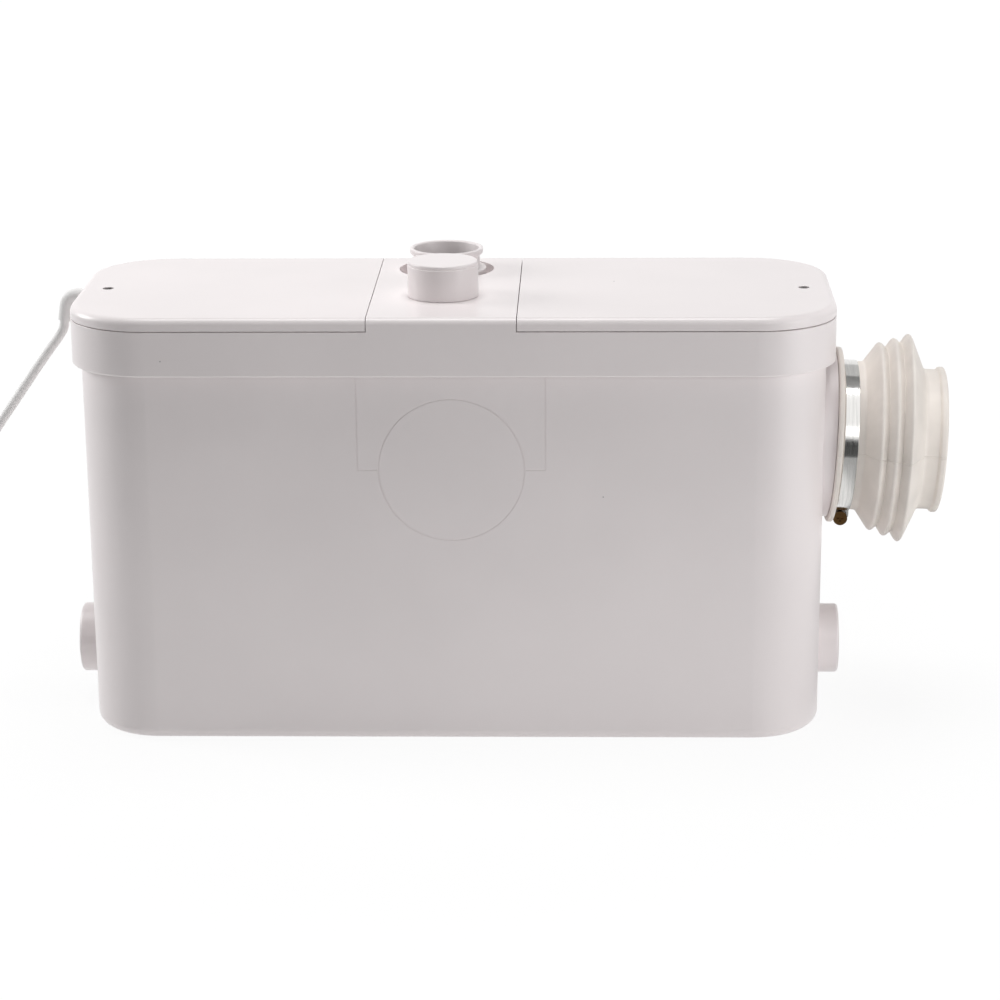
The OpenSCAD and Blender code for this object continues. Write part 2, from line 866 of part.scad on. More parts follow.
// Sealed motor can: a deep cup with a top flange, a pump flange, a bearing seat and a seal snout
module motor_can() color("silver")
    difference() {
        at_motor()
            union() {
                bar(can_r, can_z0, deck_z0);
                bar(motor_flange_r, deck_z0 - can_flange_t, deck_z0);
                bar(foot_flange_r, can_z0, can_z0 + can_floor_t);
                bar(seal_r + hub_wall, can_z0 - seal_h, can_z0 + bite);
            }
        at_motor()
            difference() {
                bar(can_r - can_wall, can_z0 + can_floor_t, deck_z0 + over);
                bar(bearing_r + hub_wall, can_z0, can_z0 + can_floor_t + bearing_h);
            }
        at_motor() {
            bar(bearing_r, can_z0 + can_floor_t, can_z0 + can_h / 2);
            bar(seal_r, can_z0 - seal_h - over, can_z0);
            bar(shaft_r + 2, can_z0 - over, can_z0 + can_h / 2);
        }
        at_motor_screws()
            bar(motor_screw_r + run, deck_z0 - can_flange_t - over, deck_z0 + over);
        at_pump_bolts()
            bar(pump_bolt_r + run, can_z0 - over, can_z0 + can_floor_t + over);
    }

// Motor cap on the deck with the upper bearing's seat
cap_plate_t = 3;
cap_dome_h = 7;
cap_dome_r = 24;
upper_bearing_z = deck_z1 - 3;
shaft_top = upper_bearing_z + bearing_h + 1;

module motor_cap() color("gray")
    difference() {
        at_motor()
            union() {
                bar(motor_flange_r, deck_z1, deck_z1 + cap_plate_t);
                bar(cap_dome_r, deck_z1, deck_z1 + cap_plate_t + cap_dome_h);
                bar(bearing_r + hub_wall, upper_bearing_z, deck_z1 + bite);
                ring(can_r - can_wall - slip, can_r - can_wall - slip - 3, deck_z0 - 6, deck_z1 + bite);
                for (k = [0 : 7])
                    rotate(45 * k)
                        box([cap_dome_r - bite, -1, deck_z1], [can_r, 1, deck_z1 + cap_plate_t + 3]);
            }
        at_motor() {
            bar(bearing_r, upper_bearing_z - over, upper_bearing_z + bearing_h + slip);
            bar(shaft_r + 2, upper_bearing_z, shaft_top + over);
        }
        at_motor_screws()
            bar(motor_screw_r + slip / 2, deck_z1 - over, deck_z1 + cap_plate_t + over);
    }

// Screws that clamp cap, deck and can together
module motor_screws() color("silver")
    at_motor_screws() {
        bar(motor_screw_r, deck_z0 - can_flange_t - 3, deck_z1 + cap_plate_t + bite);
        bar(1.8 * motor_screw_r, deck_z1 + cap_plate_t, deck_z1 + cap_plate_t + 2.6);
    }

// Stator and rotor, level with each other
stack_h = 45;
stack_z = can_z0 + can_floor_t + bearing_h + 32;
rotor_r = 27;
air_gap = 0.4;
stator_r = can_r - can_wall - run;
slot_n = 12;
slot_w = 6;
yoke = 9;

module stator_core() color("dimgray")
    at_motor()
        difference() {
            ring(stator_r, rotor_r + air_gap, stack_z, stack_z + stack_h);
            for (k = [0 : slot_n - 1])
                rotate(360 * k / slot_n)
                    box([rotor_r + 3, -slot_w / 2, stack_z - over],
                        [stator_r - yoke, slot_w / 2, stack_z + stack_h + over]);
        }

// End turns of the winding on both faces of the stack
winding_h = 17;

module stator_winding() color("peru")
    at_motor()
        for (z = [stack_z - winding_h - slip, stack_z + stack_h + slip])
            ring(stator_r - yoke + 3, rotor_r + 3, z, z + winding_h);

module rotor_core() color("darkgray")
    at_motor()
        difference() {
            union() {
                bar(rotor_r, stack_z, stack_z + stack_h);
                ring(rotor_r - 2, rotor_r - 10, stack_z - 5, stack_z + stack_h + 5);
            }
            bar(shaft_r + run, stack_z - 2 * over, stack_z + stack_h + 2 * over);
        }

// Shaft from the impeller's nut to the upper bearing
nut_h = 6;
impeller_z0 = chamber_z0 + 2;
impeller_z1 = chamber_z1 - 2.5;
shaft_z0 = impeller_z0 - nut_h;

module shaft() color("silver")
    at_motor()
        bar(shaft_r, shaft_z0, shaft_top);

// Ball bearings, both of one size
module bearings() color("lightgray")
    at_motor()
        for (z = [can_z0 + can_floor_t, upper_bearing_z])
            difference() {
                ring(bearing_r - run, shaft_r + run, z, z + bearing_h);
                for (e = [z - over, z + bearing_h - 0.6])
                    ring(bearing_r - 2.5, shaft_r + 2, e, e + 0.6 + over);
            }

module shaft_seal() color("dimgray")
    at_motor()
        ring(seal_r - run, shaft_r + run, can_z0 - seal_h + slip, can_z0 - slip);

// Cutter: two swept arms on a long hub that also spaces the impeller
cutter_z = basket_floor_z1 + 12;
cutter_t = 3;
cutter_hub_r = neck_r - 1.2;
arm_w = 14;

// One swept arm as the overlap of two discs, cut short at the sweep's radius
module cutter_arm() {
    arm_r = cutter_r;
    intersection() {
        difference() {
            translate([cutter_r / 2, -arm_r + arm_w / 2])
                circle(arm_r);
            translate([cutter_r / 2, -arm_r - arm_w / 2])
                circle(arm_r);
        }
        circle(cutter_r);
        translate([0, -cutter_r])
            square([cutter_r, 2 * cutter_r]);
    }
}

module cutter_blade() color("silver")
    at_motor()
        difference() {
            union() {
                translate([0, 0, cutter_z])
                    linear_extrude(cutter_t)
                        for (a = [0, 180])
                            rotate(a)
                                cutter_arm();
                bar(cutter_hub_r, impeller_z1 + slip, cutter_z + cutter_t + 8);
            }
            bar(shaft_r + run, 0, lid_top);
        }

// Impeller: a shroud disc with swept vanes below
vane_n = 6;
vane_t = 2.4;
shroud_t = 3;

module vane() {
    sweep_r = 0.6 * impeller_r;
    intersection() {
        translate([0, sweep_r])
            difference() {
                circle(sweep_r);
                circle(sweep_r - vane_t);
            }
        difference() {
            circle(impeller_r - 1);
            circle(shaft_r + 3);
        }
        translate([0, -impeller_r])
            square([impeller_r, 2 * impeller_r]);
    }
}

module impeller() color("darkslategray")
    at_motor()
        difference() {
            union() {
                bar(impeller_r, impeller_z1 - shroud_t, impeller_z1);
                bar(shaft_r + 5, impeller_z0, impeller_z1);
                translate([0, 0, impeller_z0])
                    linear_extrude(impeller_z1 - impeller_z0 - shroud_t + bite)
                        for (k = [0 : vane_n - 1])
                            rotate(360 * k / vane_n)
                                vane();
            }
            bar(shaft_r + run, 0, lid_top);
        }

module impeller_nut() color("silver")
    at_motor()
        difference() {
            translate([0, 0, impeller_z0 - slip - nut_h + over])
                cylinder(r = shaft_r + 4, h = nut_h - over, $fn = 6);
            bar(shaft_r + run, 0, impeller_z1);
        }

// Strainer basket with a rolled rim and rows of round holes
basket_wall = 2;
basket_hole_r = 4.5;
basket_hole_n = 18;
basket_rows = 3;
basket_rim = 3;

module basket() color("gainsboro")
    difference() {
        at_motor()
            difference() {
                union() {
                    bar(basket_r, volute_top, volute_top + basket_h);
                    bar(basket_r + basket_rim, volute_top + basket_h - basket_rim, volute_top + basket_h);
                }
                bar(basket_r - basket_wall, basket_floor_z1, volute_top + basket_h + over);
                bar(neck_r, volute_top - over, basket_floor_z1 + over);
                for (k = [0 : basket_hole_n - 1], j = [0 : basket_rows - 1])
                    translate([0, 0, basket_floor_z1 + 12 + 16 * j])
                        rotate([0, 0, 360 * (k + 0.5 * (j % 2)) / basket_hole_n])
                            rotate([0, 90, 0])
                                bar(basket_hole_r, basket_r - 3 * basket_wall, basket_r + over);
            }
        at_pump_bolts()
            bar(pump_bolt_r + slip / 2, volute_top - over, basket_floor_z1 + over);
    }

// Long bolts that hang the pump from the motor, and the spacers on them
module pump_bolts() color("silver")
    at_pump_bolts() {
        bar(pump_bolt_r, cover_z - bite, can_z0 + can_floor_t + 4);
        translate([0, 0, cover_z - 3.5])
            cylinder(r = 4.6, h = 3.5, $fn = 6);
    }

module pump_spacers() color("lightgray")
    at_pump_bolts()
        ring(spacer_r, pump_bolt_r + run, basket_floor_z1, can_z0);

// Riser: an upright pipe with a side socket for the pump's outlet
valve_depth = 52;
valve_z0 = deck_z0 - valve_depth;
socket_l = 18;
riser_top = valve_z0 + socket_l - slip;
riser_z0 = tank_wall + 6;

module riser_pipe() color("gainsboro")
    difference() {
        union() {
            translate([discharge_x, discharge_y, 0])
                bar(riser_r, riser_z0, riser_top);
            at_outlet()
                bar(outlet_r + outlet_wall + 2.5, outlet_l - socket_l, outlet_reach);
        }
        translate([discharge_x, discharge_y, 0])
            bar(riser_r - riser_wall, riser_z0 + riser_wall, riser_top + over);
        at_outlet() {
            bar(outlet_r + outlet_wall + slip / 2, outlet_l - socket_l - over, outlet_l + slip);
            bar(outlet_r, 0, outlet_reach);
        }
    }

// Non-return valve under the discharge tube
seat_z = valve_z0 + socket_l;
seat_t = 4;
seat_bore_r = 14;
check_t = 3;
check_r = 17.5;
check_z = seat_z + seat_t + slip / 2;
check_pin_r = 1.8;
check_pin_y = 20;
check_pin_z = check_z + check_t + 0.5;
check_half = 15.5;
valve_rise = 11;
valve_top = deck_z1 + valve_rise;

module at_discharge() {
    translate([discharge_x, discharge_y, 0])
        children();
}

module valve_body() color("gainsboro")
    at_discharge()
        difference() {
            union() {
                bar(riser_r + 3, valve_z0, seat_z + bite);
                bar(valve_r, seat_z, valve_top);
                bar(valve_r + 4, deck_z1 + slip / 2, deck_z1 + 3);
            }
            bar(riser_r + slip / 2, valve_z0 - over, seat_z);
            bar(seat_bore_r, valve_z0, valve_top + over);
            bar(valve_r - valve_wall, seat_z + seat_t, valve_top + over);
            translate([0, check_pin_y, check_pin_z])
                rotate([0, 90, 0])
                    cylinder(r = check_pin_r + run, h = 2 * check_half + slip, center = true);
        }

// Hinged flap on moulded trunnions
check_lug = 8;

module check_flap() color("dimgray")
    at_discharge() {
        bar(check_r, check_z, check_z + check_t);
        box([-check_lug, 0, check_z], [check_lug, check_pin_y, check_z + check_t]);
        translate([0, check_pin_y, check_pin_z])
            rotate([0, 90, 0])
                cylinder(r = check_pin_r, h = 2 * check_half, center = true);
    }

// Discharge tube: plugs into the valve body, shows a collar in the lid's hole and a rolled rim
discharge_wall = 3;
discharge_rim = 2.1;
discharge_collar_r = 25.9;

module discharge_tube() color("white")
    at_discharge()
        rotate_extrude()
            difference() {
                union() {
                    square([discharge_r, lid_top + discharge_proud - discharge_rim]);
                    translate([discharge_r, lid_top + discharge_proud - discharge_rim])
                        circle(discharge_rim, $fn = 32);
                    translate([0, lid_top + discharge_proud - 2 * discharge_rim])
                        square([discharge_r, 2 * discharge_rim]);
                    translate([0, valve_top + slip / 2])
                        square([discharge_collar_r, lid_top + 1.2 - valve_top]);
                    translate([0, valve_top - 6])
                        square([valve_r - valve_wall - slip / 2, 8]);
                }
                square([discharge_r - discharge_wall, 2 * lid_top]);
                square([2 * discharge_r, valve_top - 6]);
            }

// Pressure switch: an air bell under the tray pushes a rubber diaphragm against a plunger
switch_x = switch_from_end - tank_l / 2;
switch_y = 25;
bell_wall = 2;
bell_z0 = tank_wall + 17;
bell_flange_r = switch_r + 8;
neck_hole_r = switch_r - 4;
tray_top = tray_floor_z + tray_t;
diaphragm_t = 1.2;
diaphragm_r = switch_r + 1;
switch_screw_pcr = switch_r + 4.5;
switch_screw_r = 1.5;

module at_switch() {
    translate([switch_x, switch_y, 0])
        children();
}

module at_switch_screws() {
    at_switch()
        for (k = [0 : 2])
            rotate(30 + 120 * k)
                translate([switch_screw_pcr, 0, 0])
                    children();
}

// Tray that hangs in the deck and carries the controls
module control_tray() color("lightgray")
    difference() {
        translate([tray_x, 0, 0])
            difference() {
                union() {
                    slab(tray_l, tray_d, tray_r, tray_floor_z, deck_z1 + tray_t);
                    slab(tray_l + 2 * tray_lip, tray_d + 2 * tray_lip, tray_r + tray_lip,
                         deck_z1, deck_z1 + tray_t);
                }
                slab(tray_l - 2 * tray_t, tray_d - 2 * tray_t, tray_r - tray_t,
                     tray_top, deck_z1 + tray_t + over);
            }
        at_switch()
            bar(neck_hole_r, tray_floor_z - over, tray_top + over);
        at_switch_screws()
            bar(switch_screw_r + slip / 2, tray_floor_z - over, tray_top + over);
    }

// Air bell, open at its lower end near the tank's floor
module pressure_chamber() color("gainsboro")
    difference() {
        at_switch()
            difference() {
                union() {
                    bar(switch_r, bell_z0, tray_floor_z);
                    bar(bell_flange_r, tray_floor_z - 4, tray_floor_z);
                    bar(neck_hole_r - slip / 2, tray_floor_z - bite, tray_top);
                }
                bar(switch_r - bell_wall, bell_z0 - over, tray_floor_z - 4);
                bar(neck_hole_r - 3, tray_floor_z - 5, tray_top + over);
            }
        at_switch_screws()
            bar(switch_screw_r + run, tray_floor_z - 4 - over, tray_floor_z + over);
    }

module diaphragm() color("dimgray")
    at_switch()
        bar(diaphragm_r, tray_top, tray_top + diaphragm_t);

// Switch base: a cup that clamps the diaphragm, with a guide for the plunger and a back plate
base_z = tray_top + diaphragm_t;
base_h = 11;
base_roof = 2;
cup_r = switch_r - 2;
plunger_r = 4;
plunger_disc_r = 13;
plunger_disc_t = 2.5;
nib_r = 1.2;
nib_h = 2;
stem_top = base_z + base_h + 5;
micro_l = 28;
micro_w = 10;
micro_h = 16;
micro_z = stem_top + nib_h + 8;
micro_pin_r = 1.4;
micro_pin_x = 5;

module at_micro_pins() {
    at_switch()
        for (s = [-1, 1])
            translate([s * micro_pin_x, 0, micro_z + micro_h / 2])
                rotate([90, 0, 0])
                    children();
}

module switch_base() color("darkslategray") {
    difference() {
        at_switch()
            difference() {
                union() {
                    bar(bell_flange_r, tray_top, base_z + 3);
                    bar(cup_r, base_z, base_z + base_h);
                    box([-micro_l / 2, micro_w / 2, base_z + base_h - bite],
                        [micro_l / 2, micro_w / 2 + 3, micro_z + micro_h]);
                }
                bar(diaphragm_r + slip, tray_top - over, base_z);
                bar(cup_r - 2, tray_top, base_z + base_h - base_roof);
                bar(plunger_r + run, base_z, stem_top);
            }
        at_switch_screws()
            bar(switch_screw_r + slip / 2, tray_top - over, base_z + 3 + over);
    }
    at_micro_pins()
        bar(micro_pin_r, -micro_w / 2 - bite, micro_w / 2);
}

module switch_screws() color("silver")
    at_switch_screws() {
        bar(switch_screw_r, tray_floor_z - 6, base_z + 3 + bite);
        bar(2 * switch_screw_r, base_z + 3, base_z + 5);
    }

module plunger() color("ivory")
    at_switch() {
        bar(plunger_disc_r, base_z + slip, base_z + slip + plunger_disc_t);
        bar(plunger_r, base_z + slip, stem_top);
        bar(nib_r, stem_top - bite, stem_top + nib_h);
    }

// Tube with round ends swept along a row of points
function unit(v) = v / norm(v);
function way(p, i) = unit(p[min(i + 1, len(p) - 1)] - p[max(i - 1, 0)]);
function square_to(n, t) = unit(n - t * (n * t));
function sides(p, i, n) =
    i == len(p) ? [] : let (m = square_to(n, way(p, i))) concat([m], sides(p, i + 1, m));

module tube(p, r, n, start) {
    last = len(p) - 1;
    side = sides(p, 0, start);
    points = [for (i = [0 : last], k = [0 : n - 1])
        let (a = 360 * k / n) p[i] + r * (cos(a) * side[i] + sin(a) * cross(way(p, i), side[i]))];
    walls = [for (i = [0 : last - 1], k = [0 : n - 1])
        let (a = i * n + k, b = i * n + (k + 1) % n) each [[a, a + n, b + n], [a, b + n, b]]];
    ends = [[for (k = [0 : n - 1]) k], [for (k = [n - 1 : -1 : 0]) last * n + k]];
    polyhedron(points, concat(ends, walls));
}

// Return spring between the plunger's disc and the cup's roof
spring_r = 7;
spring_wire_r = 0.6;
spring_turns = 3;
spring_z0 = base_z + slip + plunger_disc_t + spring_wire_r;
spring_z1 = base_z + base_h - base_roof - spring_wire_r;
spring_steps = 8 * spring_turns;
spring_path = [for (k = [0 : spring_steps])
    let (a = 360 * spring_turns * k / spring_steps)
        [spring_r * cos(a), spring_r * sin(a), spring_z0 + (spring_z1 - spring_z0) * k / spring_steps]];

module plunger_spring() color("silver")
    at_switch()
        tube(spring_path, spring_wire_r, 6, [0, 0, 1]);

// Microswitch over the plunger, with lugs for its lever
lever_x = -12;
lever_z = stem_top + nib_h + 1.1;
lever_t = 0.8;
lever_pin_r = 1.2;
lug_t = 2;

module microswitch() color("black")
    difference() {
        at_switch()
            difference() {
                union() {
                    box([-micro_l / 2, -micro_w / 2, micro_z], [micro_l / 2, micro_w / 2, micro_z + micro_h]);
                    for (y = [-micro_w / 2, micro_w / 2 - lug_t])
                        box([lever_x - 2, y, lever_z - 2.5], [lever_x + 2.5, y + lug_t, micro_z + bite]);
                    for (x = [-8, 0, 8])
                        box([x - 3, -0.4, micro_z + micro_h - bite], [x + 3, 0.4, micro_z + micro_h + 6]);
                }
                translate([lever_x, 0, lever_z])
                    rotate([90, 0, 0])
                        cylinder(r = lever_pin_r + run, h = 2 * micro_w, center = true);
            }
        at_micro_pins()
            bar(micro_pin_r + run, -micro_w, micro_w);
    }

module switch_lever() color("silver")
    at_switch() {
        box([lever_x, -2.5, lever_z - lever_t], [8, 2.5, lever_z]);
        translate([lever_x, 0, lever_z])
            rotate([90, 0, 0])
                cylinder(r = lever_pin_r, h = micro_w, center = true);
    }

// Motor capacitor in its clip, and the terminal block
capacitor_r = 17.5;
capacitor_l = 75;
capacitor_x = switch_x - 8;
capacitor_y = capacitor_r + tray_t + 2.5 - tray_d / 2;
capacitor_z = tray_top + capacitor_r + 2;
clip_w = 14;
clip_t = 1.5;

module at_capacitor() {
    translate([capacitor_x, capacitor_y, capacitor_z])
        rotate([0, 90, 0])
            children();
}

module capacitor() color("whitesmoke")
    at_capacitor() {
        bar(capacitor_r, 0, capacitor_l);
        for (y = [-6, 6])
            translate([-0.4, y - 3, capacitor_l - bite])
                cube([0.8, 6, 9]);
    }

module capacitor_clip() color("silver")
    difference() {
        union() {
            at_capacitor()
                bar(capacitor_r + clip_t, (capacitor_l - clip_w) / 2, (capacitor_l + clip_w) / 2);
            translate([capacitor_x + (capacitor_l - clip_w) / 2, capacitor_y, tray_top])
                translate([0, -10, 0])
                    cube([clip_w, 20, 6]);
        }
        at_capacitor()
            bar(capacitor_r + run, -over, capacitor_l);
    }

terminal_n = 4;
terminal_pitch = 9;
terminal_gap = 6;
terminal_x = tray_x + tray_l / 2 - tray_t - terminal_gap - terminal_n * terminal_pitch;
terminal_y = 12;

module terminal_block() color("ivory")
    translate([terminal_x, terminal_y, tray_top])
        difference() {
            union() {
                cube([terminal_n * terminal_pitch, 20, 8]);
                translate([0, 5, 0])
                    cube([terminal_n * terminal_pitch, 10, 14]);
            }
            for (k = [0 : terminal_n - 1])
                translate([(k + 0.5) * terminal_pitch, 10, 0]) {
                    bar(2.6, 8, 14 + over);
                    translate([0, 0, 5])
                        rotate([90, 0, 0])
                            cylinder(r = 2, h = 30, center = true);
                }
        }

// Carbon vent filter in the deck
module vent_filter() color("dimgray")
    translate([vent_x, vent_y, 0])
        difference() {
            union() {
                bar(vent_r, deck_z0 - 4, deck_z1 + bite);
                bar(vent_r + 3, deck_z1, deck_z1 + 2);
            }
            for (k = [0 : 5])
                rotate(60 * k)
                    translate([0.6 * vent_r, 0, 0])
                        bar(2.5, deck_z0 - 5, deck_z1 + 3);
            bar(2.5, deck_z0 - 5, deck_z1 + 3);
        }

// Cable sleeve: through the lid's wall, then an elbow that points the lead down
gland_bend_r = 7;
gland_bend = 80;
gland_tip = 11;
gland_tip_r = gland_r - 0.3;
gland_inside = 25;
gland_proud = 10.5;
gland_in_x = -lid_l / 2 + gland_inside;
elbow_x = -lid_l / 2 - gland_proud;
gland_way = [-cos(gland_bend), 0, -sin(gland_bend)];
elbow_end = [elbow_x - gland_bend_r * sin(gland_bend), gland_y,
    gland_z - gland_bend_r * (1 - cos(gland_bend))];
gland_end = elbow_end + gland_tip * gland_way;

module cable_gland() color("white") {
    translate([elbow_x, gland_y, gland_z])
        rotate([0, 90, 0]) {
            bar(gland_r, -bite, gland_in_x - elbow_x);
            bar(gland_r + 1.4, gland_in_x - elbow_x - bite, gland_in_x - elbow_x + 3);
        }
    translate([elbow_x, gland_y, gland_z - gland_bend_r])
        rotate([90, 0, 0])
            rotate(90)
                rotate_extrude(angle = gland_bend)
                    translate([gland_bend_r, 0])
                        circle(gland_r - 0.15, $fn = 32);
    translate(elbow_end - bite * gland_way)
        rotate([0, 270 - gland_bend, 0])
            cylinder(r1 = gland_r, r2 = gland_tip_r, h = gland_tip + bite);
}

// Route of the mains lead, from the sleeve's end: a slanting fall that turns to the front and meets the floor
cord_r = cord_d / 2;
cord_z = cord_r + 1.1;
lead_reach = 126;
lead_fall = 238;
lead_x = gland_end[0] - lead_reach;
coil_turn_r = 42;
coil_pitch = cord_d + 0.5;
coil_turns = 3.5;
coil_x = lead_x - coil_turn_r;
coil_forward = 100;
coil_y = gland_y - coil_forward;
lead_route = [
    [0, 0, 0], [0.9, 0, 5], [4, 0, 10.5], [10, 0, 18.5], [18.4, 0, 30], [28, 0, 43.5], [37.5, 0, 57],
    [47.5, 0, 71], [56.8, 0, 84.5], [66.2, 0, 98], [75.5, 0.3, 112], [84.5, 1, 126], [93, 2, 140],
    [101, 3.5, 154], [108.5, 5.5, 168], [115, 8.5, 182], [119.8, 12, 197], [123, 16.5, 211],
    [125, 22.5, 222], [126, 31, 230], [126, 42, 235], [126, 55, 237.4], [126, 68, 238], [126, 81, 238]
];
lead_path = concat(
    [for (q = lead_route)
        gland_end - [q[0], q[1], q[2] / lead_fall * (gland_end[2] - cord_z)]],
    [[lead_x, coil_y + cord_d, cord_z]]);

module cord_lead() color("gainsboro")
    tube(lead_path, cord_r, 10, [0, 1, 0]);

// Coil: turns that run inwards on the floor, step up and run outwards again
coil_steps = 24;
coil_mid = coil_turns / 2;
function step_up(u) = u < 0 ? 0 : u > 1 ? 1 : u * u * (3 - 2 * u);
function coil_radius(t) = coil_turn_r - coil_pitch * (t < coil_mid ? t : coil_turns - t);
function coil_point(t) = [coil_x + coil_radius(t) * cos(360 * t), coil_y - coil_radius(t) * sin(360 * t),
    cord_z + coil_pitch * step_up(2 * (t - coil_mid) + 0.5)];
tail_x = coil_x - coil_turn_r;
tail_z = cord_z + coil_pitch;
coil_path = concat([[lead_x, coil_y + cord_d, cord_z]],
    [for (k = [0 : coil_turns * coil_steps]) coil_point(k / coil_steps)],
    [[tail_x, coil_y + cord_d, tail_z]]);
coil_gap = min([for (i = [0 : len(coil_path) - 1], j = [i + 9 : 1 : len(coil_path) - 1])
    norm(coil_path[i] - coil_path[j])]) - cord_d;
echo(coil_gap = coil_gap);

module cord_coil() color("gainsboro")
    tube(coil_path, cord_r, 6, [0, 0, 1]);

// Tie around the coil's turns at its front
tie_w = 8;
tie_t = 0.8;
tie_slack = 0.5;
tie_r0 = coil_radius(1.25) - cord_r - tie_slack;
tie_r1 = coil_radius(0.25) + cord_r + tie_slack;
tie_z1 = tail_z + cord_r;

module coil_tie() color("black")
    translate([coil_x - tie_w / 2, coil_y - (tie_r0 + tie_r1) / 2, (cord_z - cord_r + tie_z1) / 2])
        rotate([90, 0, 90])
            linear_extrude(tie_w)
                let (w = tie_r1 - tie_r0, h = tie_z1 - cord_z + cord_r)
                    difference() {
                        rounded_rect(w + 2 * tie_t, h + 2 * tie_t, cord_r + tie_t);
                        rounded_rect(w, h, cord_r);
                    }

// Tail of the lead and the plug that lies beside the coil
plug_r = 18.8;
plug_l = 42;
boot_l = 22;
pin_r = 2.4;
pin_l = 19;
pin_gap = 19;
tail_l = 72;
plug_y = coil_y + tail_l;
plug_z = plug_r + 0.4;
tail_rise = plug_z - tail_z;
tail_route = [[18, 0], [32, 0], [44, 0.06], [53, 0.35], [61, 0.8], [67, 1]];
tail_path = concat(
    [[tail_x, coil_y + cord_d, tail_z]],
    [for (q = tail_route) [tail_x, coil_y + q[0], tail_z + q[1] * tail_rise]],
    [[tail_x, plug_y, plug_z]]);

module cord_tail() color("gainsboro")
    tube(tail_path, cord_r, 10, [1, 0, 0]);

module at_plug() {
    translate([tail_x, plug_y, plug_z])
        rotate([-90, 0, 0])
            children();
}

module at_plug_pins() {
    at_plug()
        for (s = [-1, 1])
            translate([s * pin_gap / 2, 0, 0])
                children();
}

module plug_body() color("white")
    difference() {
        at_plug()
            rotate_extrude()
                polygon([[0, 0], [cord_r + 1, 0], [cord_r + 3, boot_l], [plug_r - 6, boot_l],
                         [plug_r - 1.5, boot_l + 8], [plug_r - 1.5, boot_l + plug_l - 12],
                         [plug_r, boot_l + plug_l - 11], [plug_r, boot_l + plug_l], [0, boot_l + plug_l]]);
        at_plug_pins()
            bar(pin_r + run, boot_l + plug_l - 8, boot_l + plug_l + over);
    }

module plug_pins() color("silver")
    at_plug_pins() {
        bar(pin_r, boot_l + plug_l - 8, boot_l + plug_l + pin_l - pin_r / 2);
        translate([0, 0, boot_l + plug_l + pin_l - pin_r / 2])
            cylinder(r1 = pin_r, r2 = pin_r / 2, h = pin_r / 2);
    }

tank();
lid_frame();
lid_gasket();
lid_screws();
left_cover();
right_cover();
left_cover_screw();
right_cover_screw();
top_inlet_cap();
wc_bellows();
clamp_band();
clamp_housing();
clamp_screw();
inlet_chute();
left_inlet_stub();
right_inlet_stub();
left_inlet_flap();
right_inlet_flap();
discharge_tube();
valve_body();
check_flap();
riser_pipe();
motor_can();
motor_cap();
motor_screws();
stator_core();
stator_winding();
rotor_core();
shaft();
bearings();
shaft_seal();
cutter_blade();
impeller();
impeller_nut();
basket();
volute();
pump_cover();
pump_bolts();
pump_spacers();
control_tray();
pressure_chamber();
diaphragm();
switch_base();
switch_screws();
plunger();
plunger_spring();
microswitch();
switch_lever();
capacitor();
capacitor_clip();
terminal_block();
vent_filter();
cable_gland();
cord_lead();
cord_coil();
cord_tail();
coil_tie();
plug_body();
plug_pins();
